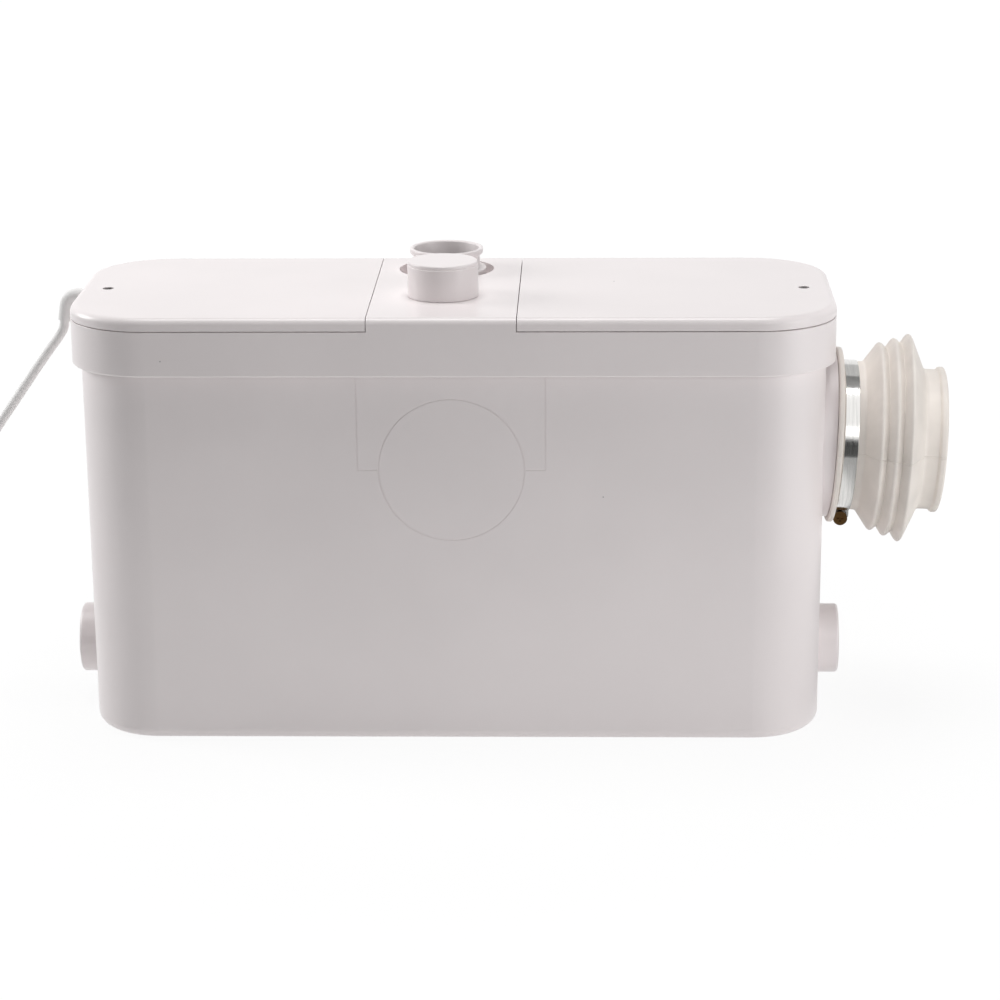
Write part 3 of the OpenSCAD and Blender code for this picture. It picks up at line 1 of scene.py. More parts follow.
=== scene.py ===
import bpy
import numpy as np
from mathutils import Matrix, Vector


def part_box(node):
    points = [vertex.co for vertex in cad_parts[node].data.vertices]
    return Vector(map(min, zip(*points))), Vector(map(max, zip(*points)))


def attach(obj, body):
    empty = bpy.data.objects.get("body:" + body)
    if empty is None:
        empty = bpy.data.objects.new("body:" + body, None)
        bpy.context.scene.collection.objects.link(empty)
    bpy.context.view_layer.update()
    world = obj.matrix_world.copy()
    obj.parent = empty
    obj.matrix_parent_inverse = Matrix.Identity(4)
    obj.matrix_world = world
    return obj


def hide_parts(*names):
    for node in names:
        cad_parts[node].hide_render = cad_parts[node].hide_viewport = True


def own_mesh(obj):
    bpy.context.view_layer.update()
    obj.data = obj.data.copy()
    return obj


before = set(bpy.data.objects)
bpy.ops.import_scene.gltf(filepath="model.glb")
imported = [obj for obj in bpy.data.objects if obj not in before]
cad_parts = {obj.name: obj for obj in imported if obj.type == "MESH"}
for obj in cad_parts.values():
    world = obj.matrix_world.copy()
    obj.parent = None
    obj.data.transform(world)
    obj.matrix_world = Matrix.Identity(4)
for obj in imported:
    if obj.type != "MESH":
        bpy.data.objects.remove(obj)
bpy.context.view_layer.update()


# Tank
# The tank stands on the floor and holds the pump. It is one thick injection moulding in white plastic,
# drafted so that it leaves its mould, with a faint outline in front where an inlet can be cut open.
class Wire:
    """One value in a material's nodes: sums on it add Math nodes, and make adds any other node."""

    def __init__(self, tree, socket=None):
        self.tree = tree
        self.socket = socket

    def fill(self, node, sockets):
        """Give each named socket of a node its value, or link it where the value is a Wire."""
        for key, value in sockets.items():
            if isinstance(value, Wire):
                self.tree.links.new(value.socket, node.inputs[key])
            else:
                node.inputs[key].default_value = value

    def make(self, kind, settings, sockets, output=0):
        """A new node: its settings, then its sockets. One of its outputs comes back as a Wire."""
        node = self.tree.nodes.new("ShaderNode" + kind)
        for name, value in settings.items():
            setattr(node, name, value)
        self.fill(node, sockets)
        return Wire(self.tree, node.outputs[output])

    def math(self, operation, *values):
        """A Math node on these values."""
        return self.make("Math", {"operation": operation}, dict(enumerate(values)))

    def __add__(self, other):
        return self.math("ADD", self, other)

    def __radd__(self, other):
        return self.math("ADD", other, self)

    def __sub__(self, other):
        return self.math("SUBTRACT", self, other)

    def __rsub__(self, other):
        return self.math("SUBTRACT", other, self)

    def __mul__(self, other):
        return self.math("MULTIPLY", self, other)

    def __rmul__(self, other):
        return self.math("MULTIPLY", other, self)

    def __abs__(self):
        return self.math("ABSOLUTE", self)

    def between(self, low, high):
        """A smooth step from 0 at low to 1 at high."""
        ends = {"Value": self, "From Min": low, "From Max": high}
        return self.make("MapRange", {"interpolation_type": "SMOOTHSTEP"}, ends)

    def tint(self, low, high):
        """A colour between two others, by this value from 0 to 1."""
        pair = [c if isinstance(c, Wire) else (*c, 1) for c in (low, high)]
        return self.make("Mix", {"data_type": "RGBA"}, {0: self, 6: pair[0], 7: pair[1]}, 2)

    def noise(self, scale, detail):
        """Cloudy noise at this place, with that many clouds to the metre."""
        return self.make("TexNoise", {}, {"Vector": self, "Scale": scale, "Detail": detail})

    def split(self):
        """The X, Y and Z of this place."""
        first = self.make("SeparateXYZ", {}, {0: self})
        return [Wire(self.tree, socket) for socket in first.socket.node.outputs]


def paint(red, green, blue):
    """Screen values from 0 to 255 as the linear colour that shows them."""
    screen = np.array([red, green, blue]) / 255
    linear = np.where(screen <= 0.04045, screen / 12.92, ((screen + 0.055) / 1.055) ** 2.4)
    return tuple(linear.tolist())


def finish(name):
    """An empty material: itself, its shader and the places on a piece that wears it."""
    material = bpy.data.materials.new(name)
    material.use_nodes = True
    tree = material.node_tree
    return material, tree.nodes["Principled BSDF"], Wire(tree).make("TexCoord", {}, {}, "Object")


def moulded_plastic(name, colour, rough):
    """Moulded plastic: tone that drifts slowly, a fine skin from the mould, flow marks and a few specks."""
    material, shader, place = finish(name)
    drift = place.noise(7.0, 3.0)
    skin = place.noise(1300.0, 2.0)
    flow = place.noise(90.0, 1.0)
    speck = 1 - place.make("TexVoronoi", {}, {"Vector": place, "Scale": 26.0}).between(0.012, 0.022)
    shaded = tuple(0.955 * c for c in colour)
    soiled = tuple(0.35 * c for c in colour)
    height = skin * 0.000005 + flow * 0.000012
    place.fill(shader, {
        "Base Color": speck.tint(drift.between(0.3, 0.7).tint(shaded, colour), soiled),
        "Roughness": rough - 0.05 + drift * 0.08 + skin * 0.04,
        "Normal": place.make("Bump", {}, {"Strength": 1.0, "Distance": 1.0, "Height": height}),
    })
    return material


def dress(material, *names):
    """Put a finish on solids whose shape is right as it is."""
    for name in names:
        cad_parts[name].material_slots[0].material = material


white_plastic = moulded_plastic("white_plastic", paint(245, 238, 238), 0.3)
dress(white_plastic, "tank")


# Pan connector
# A ribbed sleeve that a pan's outlet pushes into. It is moulded in cream rubber in two halves, whose
# parting line shows along its side, and it grips the tank's spigot by its smooth end.
def rounded(corners, cuts, steps=6, closed=True):
    """A line with rounded corners: each is a parabola between points one cut away along both its sides.

    A point just outside each parabola keeps the straights flat in the shading."""
    corners = np.asarray(corners, float)
    ahead = np.roll(corners, -1, 0) - corners
    behind = np.roll(corners, 1, 0) - corners
    ahead_l = np.linalg.norm(ahead, axis=1)
    behind_l = np.linalg.norm(behind, axis=1)
    cut = np.minimum(cuts, 0.45 * np.minimum(ahead_l, behind_l))[:, None, None]
    ahead = (ahead / ahead_l[:, None])[:, None]
    behind = (behind / behind_l[:, None])[:, None]
    t = np.linspace(0, 1, steps)[None, :, None]
    bend = corners[:, None] + cut * ((1 - t) ** 2 * behind + t ** 2 * ahead)
    ends = corners[:, None] + 1.1 * cut * behind, corners[:, None] + 1.1 * cut * ahead
    line = np.concatenate([ends[0], bend, ends[1]], axis=1).reshape(-1, 2)
    if closed:
        return line
    return np.vstack([corners[:1], line[steps + 2:-steps - 2], corners[-1:]])


def walled(line, wall):
    """Outer and inner face of an even wall: each corner of its middle line moves along its mitre."""
    line = np.asarray(line, float)
    step = np.diff(line, axis=0)
    side = np.stack([step[:, 1], -step[:, 0]], axis=1) / np.linalg.norm(step, axis=1, keepdims=True)
    before = np.vstack([side[:1], side])
    after = np.vstack([side, side[-1:]])
    mitre = (before + after) / (1 + np.sum(before * after, axis=1, keepdims=True))
    return line + mitre * wall / 2, line - mitre * wall / 2


def turned(profile, steps=160):
    """A profile of radius and height carried round Z: x is r cos a, y is r sin a, z is the height."""
    a = np.linspace(0, 2 * np.pi, steps, endpoint=False)
    r, h = np.asarray(profile, float).T
    return np.stack([np.outer(r, np.cos(a)), np.outer(r, np.sin(a)), np.outer(h, np.ones(steps))], axis=-1)


def surface(name, grid, material, along=True, around=True):
    """A mesh over a grid of points in millimetres: rows along the piece, columns around it.

    The first and last row or column are joined where asked. Points that meet are merged, flattened
    triangles are dropped, and the sign of the volume held tells which way is out."""
    rows, columns, _ = grid.shape
    index = np.arange(rows * columns).reshape(rows, columns)
    index = np.hstack([index, index[:, :1]]) if around else index
    index = np.vstack([index, index[:1]]) if along else index
    a, b, c, d = index[:-1, :-1], index[1:, :-1], index[1:, 1:], index[:-1, 1:]
    triangles = np.concatenate([np.stack([a, b, c], -1), np.stack([a, c, d], -1)]).reshape(-1, 3)
    points, place = np.unique(np.round(grid.reshape(-1, 3) / 1000, 7), axis=0, return_inverse=True)
    triangles = place.ravel()[triangles]
    whole = (triangles != np.roll(triangles, 1, axis=1)).all(axis=1)
    triangles = triangles[whole]
    p, q, r = np.moveaxis(points[triangles], 1, 0)
    if np.sum(p * np.cross(q, r)) < 0:
        triangles = triangles[:, ::-1]
    mesh = bpy.data.meshes.new(name)
    mesh.from_pydata(points.tolist(), [], triangles.tolist())
    mesh.shade_smooth()
    mesh.set_sharp_from_angle(angle=0.7)
    mesh.materials.append(material)
    piece = bpy.data.objects.new(name, mesh)
    bpy.context.scene.collection.objects.link(piece)
    return piece


def fitted(piece, body, slot, *nodes):
    """Let a new piece ride on a body and stand for its solids, which are hidden. The slot is not used."""
    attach(piece, body)
    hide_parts(*nodes)


def soft_rubber(name, colour, rough, seam=None):
    """Moulded rubber: cloudy tone, a dull bloom, fine pores and an optional raised parting line with a
    painted highlight.
    """
    material, shader, place = finish(name)
    cloud = place.noise(38.0, 4.0)
    pores = place.noise(2100.0, 2.0)
    dents = place.noise(150.0, 2.0)
    height = pores * 0.000012 + dents * 0.00003
    shaded = tuple(0.9 * c for c in colour)
    tone = cloud.between(0.3, 0.7).tint(shaded, colour)
    if seam is not None:
        line = seam(place)
        height = height + line * 0.0003
        # The ridge is also painted a little lighter than the rubber: a painted highlight where it catches
        # light.
        tone = (line * 0.35).tint(tone, tuple(min(1.0, 1.06 * c) for c in colour))
    place.fill(shader, {
        "Base Color": tone,
        "Roughness": rough - 0.08 + cloud * 0.16,
        "Normal": place.make("Bump", {}, {"Strength": 1.0, "Distance": 1.0, "Height": height}),
    })
    return material


inlet_x = 239.954
inlet_z = 179.0
inlet_turn = np.radians(93)
inlet_cos = float(np.cos(inlet_turn))
inlet_sin = float(np.sin(inlet_turn))


def at_pan_inlet(local):
    """Points of the pan inlet's own frame, whose Z runs out along its drooping axis, in the pump's frame.

    X and Z turn about Y by the inlet's turn, and the inlet's place is added."""
    x, y, z = np.moveaxis(local, -1, 0)
    across = inlet_x + x * inlet_cos + z * inlet_sin
    return np.stack([across, y, inlet_z - x * inlet_sin + z * inlet_cos], axis=-1)


def parting_line(place):
    """Thin ridge where the level plane through the bellows' axis cuts it."""
    x, _, z = place.split()
    off = (x - inlet_x / 1000) * inlet_cos - (z - inlet_z / 1000) * inlet_sin
    return 1 - abs(off).between(0.00025, 0.0006)


bellows_wall = 2.3
bellows_steps = 192
sleeve_r = 45.55
lip_r = 56.5
lip_low, lip_high = 1.3, 4.9
collar_r = 42.8
collar_foot = 57.0
bellows_end = 71.5
slack_foot, slack_run, slack_end = 22.0, 8.0, 64.0
sway_round = 0.0012
sway_along = 0.3
rib_middles = [[59.8, 29], [55.6, 33.2], [63.0, 38.0], [58.8, 42.4], [66.2, 47.2]]
sleeve_middle = sleeve_r + bellows_wall / 2
collar_middle = collar_r + bellows_wall / 2
sleeve_line = [[sleeve_middle, 8], [sleeve_middle, 20]]
collar_line = [[collar_middle, collar_foot], [collar_middle, 65.5]]
middle_line = [*sleeve_line, *rib_middles, *collar_line]
outer_line, inner_line = walled(middle_line, bellows_wall)
lip = [[sleeve_r, lip_low], [lip_r, lip_low], [lip_r, lip_high], [sleeve_r + bellows_wall, lip_high]]
bead = [[45.1, 66.4], [46.9, 67.7], [46.9, 70.6], [45.6, bellows_end], [collar_r, bellows_end]]
bellows_corners = np.vstack([lip, outer_line, bead, inner_line[::-1]])
lip_cuts = [0.3, 1.4, 1.4, 0.9]
rib_cuts = [0.5, 1.5, 3.4, 0.4, 3.4, 0.4, 3.8, 2.0, 0.5]
bead_cuts = [0.8, 0.9, 0.9, 0.6, 0.6]
bellows_cuts = np.array([*lip_cuts, *rib_cuts, *bead_cuts, *rib_cuts[::-1]])
bellows_profile = rounded(bellows_corners, bellows_cuts, 7)
bellows_grid = turned(bellows_profile, bellows_steps)
# The soft ribs are never quite round: two and three slow waves round the axis swell and shift them.
rib_h = bellows_profile[:, 1:]
slack = np.clip((rib_h - slack_foot) / slack_run, 0, 1)
turn = np.linspace(0, 2 * np.pi, bellows_steps, endpoint=False)[None]
sway = np.sin(2 * turn + 0.4) + 0.6 * np.sin(3 * turn + 1.9 + 0.12 * rib_h)
bellows_grid[..., :2] *= (1 + sway_round * slack * sway)[..., None]
bellows_grid[..., 2] += sway_along * slack * np.sin(2 * turn + 2.1) * (rib_h < slack_end)
cream_rubber = soft_rubber("cream_rubber", paint(243, 236, 229), 0.5, parting_line)
bellows = surface("pan_bellows", at_pan_inlet(bellows_grid), cream_rubber)
fitted(bellows, "pump", "cream_rubber", "wc_bellows")


# Worm-drive clamp
# A polished stainless band round the bellows' smooth end, with a row of slots that a brassed worm screw
# pulls through its pressed housing at the bottom.
def bare_metal(name, colour, rough, lines, slots=None):
    """Bare metal: drawn lines from noise stretched along each axis, smears, and optional slots in
    near-black painted shade.
    """
    material, shader, place = finish(name)
    drawn = place.make("Mapping", {}, {"Vector": place, "Scale": lines}).noise(1.0, 3.0)
    smear = place.noise(60.0, 3.0)
    height = drawn * 0.000004
    shaded = tuple(0.86 * c for c in colour)
    tone = drawn.between(0.35, 0.65).tint(shaded, colour)
    if slots is not None:
        # Optional slots are dented by the bump and painted near black: painted shade standing for the dark
        # of the holes through the band.
        cut = slots(place)
        height = height - cut * 0.0004
        tone = cut.tint(tone, (0.02, 0.02, 0.02))
    place.fill(shader, {
        "Metallic": 1.0,
        "Base Color": tone,
        "Roughness": rough - 0.05 + drawn * 0.07 + smear * 0.05,
        "Normal": place.make("Bump", {}, {"Strength": 1.0, "Distance": 1.0, "Height": height}),
    })
    return material


band_r = 47.9
band_t = 0.8
band_z = 6.1
band_w = 9.0
slot_pitch = 3.2
slot_slant = 120.0
slot_span = 0.5


def worm_slots(place):
    """Slanted slots across the band's middle, one to each pitch of the worm, near the housing only.

    The angle round the inlet's axis, counted in pitches and slanted along the axis, repeats from 0 to 1."""
    x, y, z = place.split()
    down = (x - inlet_x / 1000) * inlet_cos - (z - inlet_z / 1000) * inlet_sin
    along = (x - inlet_x / 1000) * inlet_sin + (z - inlet_z / 1000) * inlet_cos
    out = along - (band_z + band_w / 2) / 1000
    angle = y.math("ARCTAN2", y, down)
    count = angle * (band_r / slot_pitch) + out * slot_slant
    phase = count.math("FRACT", count)
    inside = (1 - abs(phase - 0.5).between(0.2, 0.26)) * (1 - abs(out).between(0.0026, 0.003))
    return inside * (1 - abs(angle).between(slot_span, slot_span + 0.02))


steel_tone = (0.80, 0.79, 0.77)
steel_lines = (2600.0, 40.0, 40.0)
stainless = bare_metal("stainless", steel_tone, 0.13, steel_lines)
slotted = bare_metal("slotted_stainless", steel_tone, 0.13, steel_lines, worm_slots)
band_out = band_r + band_t
band_end = band_z + band_w
band_corners = [[band_r, band_z], [band_out, band_z], [band_out, band_end], [band_r, band_end]]
band_profile = rounded(band_corners, np.full(4, 0.3), 5)
# The band's free tail lies on the band for fifty degrees from the housing. Each end closes on its middle.
strap_steps = 40
strap_from, strap_to = 15, 65
strap_turn = np.radians(np.linspace(strap_from, strap_to, strap_steps))
strap_r, strap_h = (band_profile + [band_t, 0]).T
strap_grid = np.stack([
    np.outer(strap_r, np.cos(strap_turn)),
    np.outer(strap_r, np.sin(strap_turn)),
    np.outer(strap_h, np.ones(strap_steps))], axis=-1)
strap_ends = strap_grid[:, [0, -1]].mean(axis=0, keepdims=True).repeat(len(strap_r), axis=0)
strap_grid = np.concatenate([strap_ends[:, :1], strap_grid, strap_ends[:, 1:]], axis=1)
band = surface("clamp_strap", at_pan_inlet(turned(band_profile, bellows_steps)), slotted)
strap_tail = surface("clamp_strap_tail", at_pan_inlet(strap_grid), stainless, around=False)
fitted(band, "pump", "stainless", "clamp_band")
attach(strap_tail, "pump")
dress(stainless, "clamp_housing")
brassed = bare_metal("brassed", paint(112, 84, 52), 0.3, (300.0, 300.0, 300.0))
dress(brassed, "clamp_screw")


# Side inlets and the chute
# White stubs through both ends of the tank, each with a black rubber flap that hangs over its inner end,
# and a grey chute that leads waste from the pan's spigot down to the strainer.
dress(white_plastic, "left_inlet_stub", "right_inlet_stub")
black_rubber = soft_rubber("black_rubber", paint(42, 42, 43), 0.6)
dress(black_rubber, "left_inlet_flap", "right_inlet_flap")
grey_plastic = moulded_plastic("grey_plastic", paint(176, 178, 180), 0.42)
dress(grey_plastic, "inlet_chute")


# Pump
# A strainer basket with a steel cutter over a moulded pump chamber. The black impeller throws the waste
# into a tangential outlet, and three bolts with spacers hang the pump from the motor.
black_plastic = moulded_plastic("black_plastic", paint(48, 48, 50), 0.45)
zinc_steel = bare_metal("zinc_steel", paint(196, 196, 200), 0.26, (700.0, 700.0, 90.0))
dress(grey_plastic, "basket", "volute", "pump_cover")
dress(black_plastic, "impeller")
dress(stainless, "cutter_blade")
dress(zinc_steel, "impeller_nut", "pump_bolts", "pump_spacers")


# Motor
# A sealed cast can under the deck with a stacked stator, a copper winding and a rotor on a steel shaft
# that runs in two bearings, closed by a cast cap with four screws.
cast_aluminium = bare_metal("cast_aluminium", paint(190, 191, 193), 0.45, (420.0, 420.0, 420.0))
laminations = bare_metal("laminations", paint(112, 112, 115), 0.45, (30.0, 30.0, 2400.0))
copper_wire = bare_metal("copper_wire", paint(178, 102, 62), 0.34, (1500.0, 1500.0, 60.0))
dress(cast_aluminium, "motor_can", "motor_cap")
dress(zinc_steel, "motor_screws", "shaft", "bearings")
dress(laminations, "stator_core", "rotor_core")
dress(copper_wire, "stator_winding")
dress(black_rubber, "shaft_seal")


# Discharge
# A grey riser and a valve body with a rubber check flap lead up from the pump. The white tube that shows
# in the lid's hole has a collar, a straight neck and a rolled rim for a hose.
dress(grey_plastic, "riser_pipe", "valve_body")
dress(black_rubber, "check_flap")
discharge_x = -7.8
discharge_y = 55.954
discharge_r = 21.8
discharge_bore = 18.8
neck_top = 286.8
rim_r = 23.9
rim_z = 291.0
rim_foot = 287.1
mouth_r = 21.2
mouth_foot = 277.0
collar_top = 277.7
collar_edge = 25.9
socket_r = 23.85
socket_l = 6.15
socket_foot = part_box("discharge_tube")[0][2] * 1000
socket_top = socket_foot + socket_l
discharge_corners = [
    [discharge_bore, socket_foot], [socket_r, socket_foot], [socket_r, socket_top],
    [collar_edge, socket_top], [collar_edge, collar_top],
    [discharge_r, collar_top], [discharge_r, neck_top], [rim_r, rim_foot],
    [rim_r, rim_z - 0.3], [mouth_r + 1.2, rim_z], [mouth_r, rim_z - 0.6], [discharge_bore, mouth_foot]]
discharge_cuts = np.array([0.3, 0.3, 0.3, 0.3, 0.6, 0.8, 0.7, 1.3, 1.0, 0.6, 0.6, 3.0])
discharge_grid = turned(rounded(discharge_corners, discharge_cuts, 7))
discharge = surface("discharge_spout", discharge_grid + [discharge_x, discharge_y, 0], white_plastic)
fitted(discharge, "pump", "white_plastic", "discharge_tube")


# Pressure switch and wiring
# A grey tray in the deck carries an air bell, a rubber diaphragm and a microswitch, with the capacitor and
# the terminal block beside them. A steel coil spring presses the ivory plunger back down.
ivory_plastic = moulded_plastic("ivory_plastic", paint(226, 218, 196), 0.42)
dress(grey_plastic, "control_tray", "pressure_chamber")
dress(black_rubber, "diaphragm")
dress(black_plastic, "switch_base", "microswitch")
dress(ivory_plastic, "plunger", "capacitor", "terminal_block")
dress(zinc_steel, "switch_screws", "switch_lever", "capacitor_clip")
spring_x, spring_y = -165.0, 25.0
spring_r = 7.0
spring_wire = 0.6
spring_turns = 3.0
spring_steps = 145
wire_steps = 14
spring_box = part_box("plunger_spring")
spring_low = spring_box[0][2] * 1000 + spring_wire
spring_high = spring_box[1][2] * 1000 - spring_wire
# A ring of the wire's section is carried up a helix, and shrinks to a point at both ends.
climb = np.linspace(0, 1, spring_steps)[:, None]
helix = 2 * np.pi * spring_turns * climb
ring = np.linspace(0, 2 * np.pi, wire_steps, endpoint=False)[None]
section = spring_wire * np.where((climb == 0) | (climb == 1), 0, 1)
helix_r = spring_r + section * np.cos(ring)
spring_grid = np.stack([
    spring_x + helix_r * np.cos(helix),
    spring_y + helix_r * np.sin(helix),
    spring_low + (spring_high - spring_low) * climb + section * np.sin(ring)], axis=-1)
spring = surface("return_spring", spring_grid, zinc_steel, along=False)
fitted(spring, "pump", "steel", "plunger_spring")
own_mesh(spring)


# Lid
# A fixed frame with a deep skirt, a deck and a bridge, and two access covers held by one screw each in a
# deep recess. All are moulded in the tank's white plastic, and a black gasket seals the frame to the rim.
dress(white_plastic, "lid_frame", "left_cover", "right_cover")
dress(black_rubber, "lid_gasket")
blackened = bare_metal("blackened_steel", paint(64, 62, 62), 0.4, (700.0, 700.0, 90.0))
dress(zinc_steel, "lid_screws")
dress(blackened, "left_cover_screw", "right_cover_screw")
carbon = soft_rubber("carbon_felt", paint(58, 58, 60), 0.8)
dress(carbon, "vent_filter")


# Top inlet cap
# A white cap pushed over the top inlet's tube: a straight skirt, a fine groove under its crown and a
# softly rounded edge.
cap_x, cap_y = -6.5, -25.954
cap_r = 22.4
cap_bore = 20.8
cap_crown = 2.5
groove_high, groove_deep, groove_low = 2.1, 2.35, 2.75
cap_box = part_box("top_inlet_cap")
cap_foot = cap_box[0][2] * 1000
cap_top = cap_box[1][2] * 1000
cap_corners = [
    [0, cap_top], [cap_r - 0.6, cap_top],
    [cap_r - 0.45, cap_top - groove_high], [cap_r - 0.75, cap_top - groove_deep],
    [cap_r - 0.05, cap_top - groove_low], [cap_r, cap_foot], [cap_bore, cap_foot],
    [cap_bore, cap_top - cap_crown], [0, cap_top - cap_crown]]
cap_cuts = np.array([0.1, 1.5, 0.2, 0.2, 0.3, 0.4, 0.3, 1.0, 0.1])
cap_grid = turned(rounded(cap_corners, cap_cuts, 6, closed=False))
cap = surface("top_cap", cap_grid + [cap_x, cap_y, 0], white_plastic, along=False)
fitted(cap, "inlet_cap", "white_plastic", "top_inlet_cap")


# Mains lead
# A white round lead comes out of an elbow sleeve at the rear corner, hangs to the floor, and lies wound in
# a neat coil under a tie, with its moulded two-pin plug beside it.
def lead_sheath(name, colour):
    """Dull sheath of a lead: slow drift of tone and a skin that is duller in places."""
    material, shader, place = finish(name)
    cloud = place.noise(30.0, 2.0)
    skin = place.noise(260.0, 2.0)
    place.fill(shader, {
        "Base Color": cloud.tint(tuple(0.93 * c for c in colour), colour),
        "Roughness": 0.58 + skin * 0.1,
        "Specular IOR Level": 0.1,
    })
    return material


sheath_white = lead_sheath("sheath_white", paint(247, 246, 245))
dress(sheath_white, "cable_gland")
dress(black_plastic, "coil_tie")
sleeve_end = np.array([-259.258, 44.954, 244.783])
lead_d = 6.2
lying_z = 4.2
lead_fall = 238.0
lead_offsets = np.array([
    [0, 0, 0], [0.9, 0, 5], [4, 0, 10.5], [10, 0, 18.5], [18.4, 0, 30], [28, 0, 43.5], [37.5, 0, 57],
    [47.5, 0, 71], [56.8, 0, 84.5], [66.2, 0, 98], [75.5, 0.3, 112], [84.5, 1, 126], [93, 2, 140],
    [101, 3.5, 154], [108.5, 5.5, 168], [115, 8.5, 182], [119.8, 12, 197], [123, 16.5, 211],
    [125, 22.5, 222], [126, 31, 230], [126, 42, 235], [126, 55, 237.4], [126, 68, 238], [126, 81, 238]])
lead_points = sleeve_end - lead_offsets * [1, 1, (sleeve_end[2] - lying_z) / lead_fall]
coil_turn_r = 42.0
coil_pitch = 6.7
coil_turns = 3.5
coil_turn_steps = 24
coil_forward = 100.0
coil_x = lead_points[-1, 0] - coil_turn_r
coil_y = sleeve_end[1] - coil_forward
# The lead winds inwards by a pitch each turn, climbs one pitch half way, and winds outwards again.
wound = np.arange(0, coil_turns * coil_turn_steps + 1) / coil_turn_steps
wound_r = coil_turn_r - coil_pitch * np.where(wound < coil_turns / 2, wound, coil_turns - wound)
rise = np.clip(2 * (wound - coil_turns / 2) + 0.5, 0, 1)
coil_points = np.stack([
    coil_x + wound_r * np.cos(2 * np.pi * wound),
    coil_y - wound_r * np.sin(2 * np.pi * wound),
    lying_z + coil_pitch * rise * rise * (3 - 2 * rise)], axis=1)
# From the coil's upper layer the tail runs straight to the plug: its way so far, and its share of the rise.
tail_run = np.array([[6.2, 0], [18, 0], [32, 0], [44, 0.06], [53, 0.35], [61, 0.8], [67, 1], [72, 1]])
tail_x = coil_x - coil_turn_r
tail_low = lying_z + coil_pitch
plug_y = coil_y + tail_run[-1, 0]
plug_z = 19.2
tail_points = np.stack([
    np.full(len(tail_run), tail_x),
    coil_y + tail_run[:, 0],
    tail_low + tail_run[:, 1] * (plug_z - tail_low)], axis=1)
lead_line = np.vstack([lead_points, coil_points, tail_points]) / 1000
lead_curve = bpy.data.curves.new("mains_lead", "CURVE")
lead_curve.dimensions = "3D"
lead_curve.bevel_depth = lead_d / 2000
lead_curve.bevel_resolution = 6
lead_curve.resolution_u = 6
lead_curve.use_fill_caps = True
lead_spline = lead_curve.splines.new("BEZIER")
lead_spline.bezier_points.add(len(lead_line) - 1)
lead_spline.bezier_points.foreach_set("co", lead_line.ravel())
for point in lead_spline.bezier_points:
    point.handle_left_type = "AUTO"
    point.handle_right_type = "AUTO"
lead_curve.materials.append(sheath_white)
lead = bpy.data.objects.new("mains_lead", lead_curve)
bpy.context.scene.collection.objects.link(lead)
fitted(lead, "pump", "cord_white", "cord_lead", "cord_coil", "cord_tail")

# The plug's boot is a cone with rings pressed into it as cosine waves. The body behind it is turned.
boot_l = 22.0
boot_thin_r, boot_thick_r = 4.5, 6.5
boot_pitch, boot_depth = 3.6, 0.45
boot_steps, plug_steps = 67, 96
boot_s = np.linspace(0, boot_l, boot_steps)
boot_ringed = (boot_s > 1.8) * (boot_s < 19.9)
boot_wave = 0.5 - 0.5 * np.cos(2 * np.pi * boot_s / boot_pitch)
boot_r = boot_thin_r + (boot_thick_r - boot_thin_r) * boot_s / boot_l - boot_depth * boot_wave * boot_ringed
plug_l = 64.0
body_corners = [
    [boot_thick_r, boot_l], [12.8, boot_l], [17.3, 30.0], [17.3, 52.0],
    [18.8, 53.2], [18.8, plug_l], [0, plug_l]]
body_cuts = np.array([0.5, 2.5, 4.0, 0.8, 0.8, 1.2, 0.1])
body_line = rounded(body_corners, body_cuts, 7, closed=False)
plug_profile = np.vstack([[[0, 0]], np.stack([boot_r, boot_s], axis=1), body_line[1:]])
plug_grid = turned(plug_profile, plug_steps)
plug_grid = np.stack([plug_grid[..., 0], plug_grid[..., 2], -plug_grid[..., 1]], axis=-1)
plug = surface("mains_plug", plug_grid + [tail_x, plug_y, plug_z], white_plastic, along=False)
fitted(plug, "pump", "white_plastic", "plug_body")
dress(zinc_steel, "plug_pins")


# Studio
# A white floor that keeps a soft shadow, white air, a broad lamp overhead, weaker lamps on both sides and
# in front, cards that show only in glossy surfaces, and the camera at the photograph's place.
floor_half = 30
floor_corners = [(-floor_half, -floor_half, 0), (floor_half, -floor_half, 0),
                 (floor_half, floor_half, 0), (-floor_half, floor_half, 0)]
floor_mesh = bpy.data.meshes.new("studio_floor")
floor_mesh.from_pydata(floor_corners, [], [(0, 1, 2, 3)])
floor = bpy.data.objects.new("studio_floor", floor_mesh)
bpy.context.scene.collection.objects.link(floor)
floor_white = bpy.data.materials.new("floor_white")
floor_white.use_nodes = True
floor_tree = floor_white.node_tree
floor_tree.nodes.remove(floor_tree.nodes["Principled BSDF"])
floor_wire = Wire(floor_tree)
seen = floor_wire.make("LightPath", {}, {}, "Is Camera Ray")
rays = seen.socket.node.outputs
shown = seen.math("MAXIMUM", seen, Wire(floor_tree, rays["Is Glossy Ray"]))
shown = seen.math("MAXIMUM", shown, Wire(floor_tree, rays["Is Transmission Ray"]))
floor_place = floor_wire.make("TexCoord", {}, {}, "Object")
away = floor_place.make("VectorMath", {"operation": "LENGTH"}, {0: floor_place}, "Value")
lit = floor_wire.make("BsdfDiffuse", {}, {"Color": (0.86, 0.86, 0.86, 1)})
glow = floor_wire.make("Emission", {}, {"Color": (1, 1, 1, 1), "Strength": 1.02})
# The camera and glossy or clear surfaces see the floor glow, a little less near the object, so that its
# shadow shows. Round the object's foot, part of that glow also lights it.
seen_share = shown * (0.9 + away.between(0.25, 0.6) * 0.1)
foot_share = (1 - shown) * (1 - away.between(0.15, 0.5)) * 0.3
white = floor_wire.make("MixShader", {}, {0: seen_share + foot_share, 1: lit, 2: glow})
floor_wire.fill(floor_tree.nodes["Material Output"], {"Surface": white})
floor_white.cycles.emission_sampling = "NONE"
floor_mesh.materials.append(floor_white)

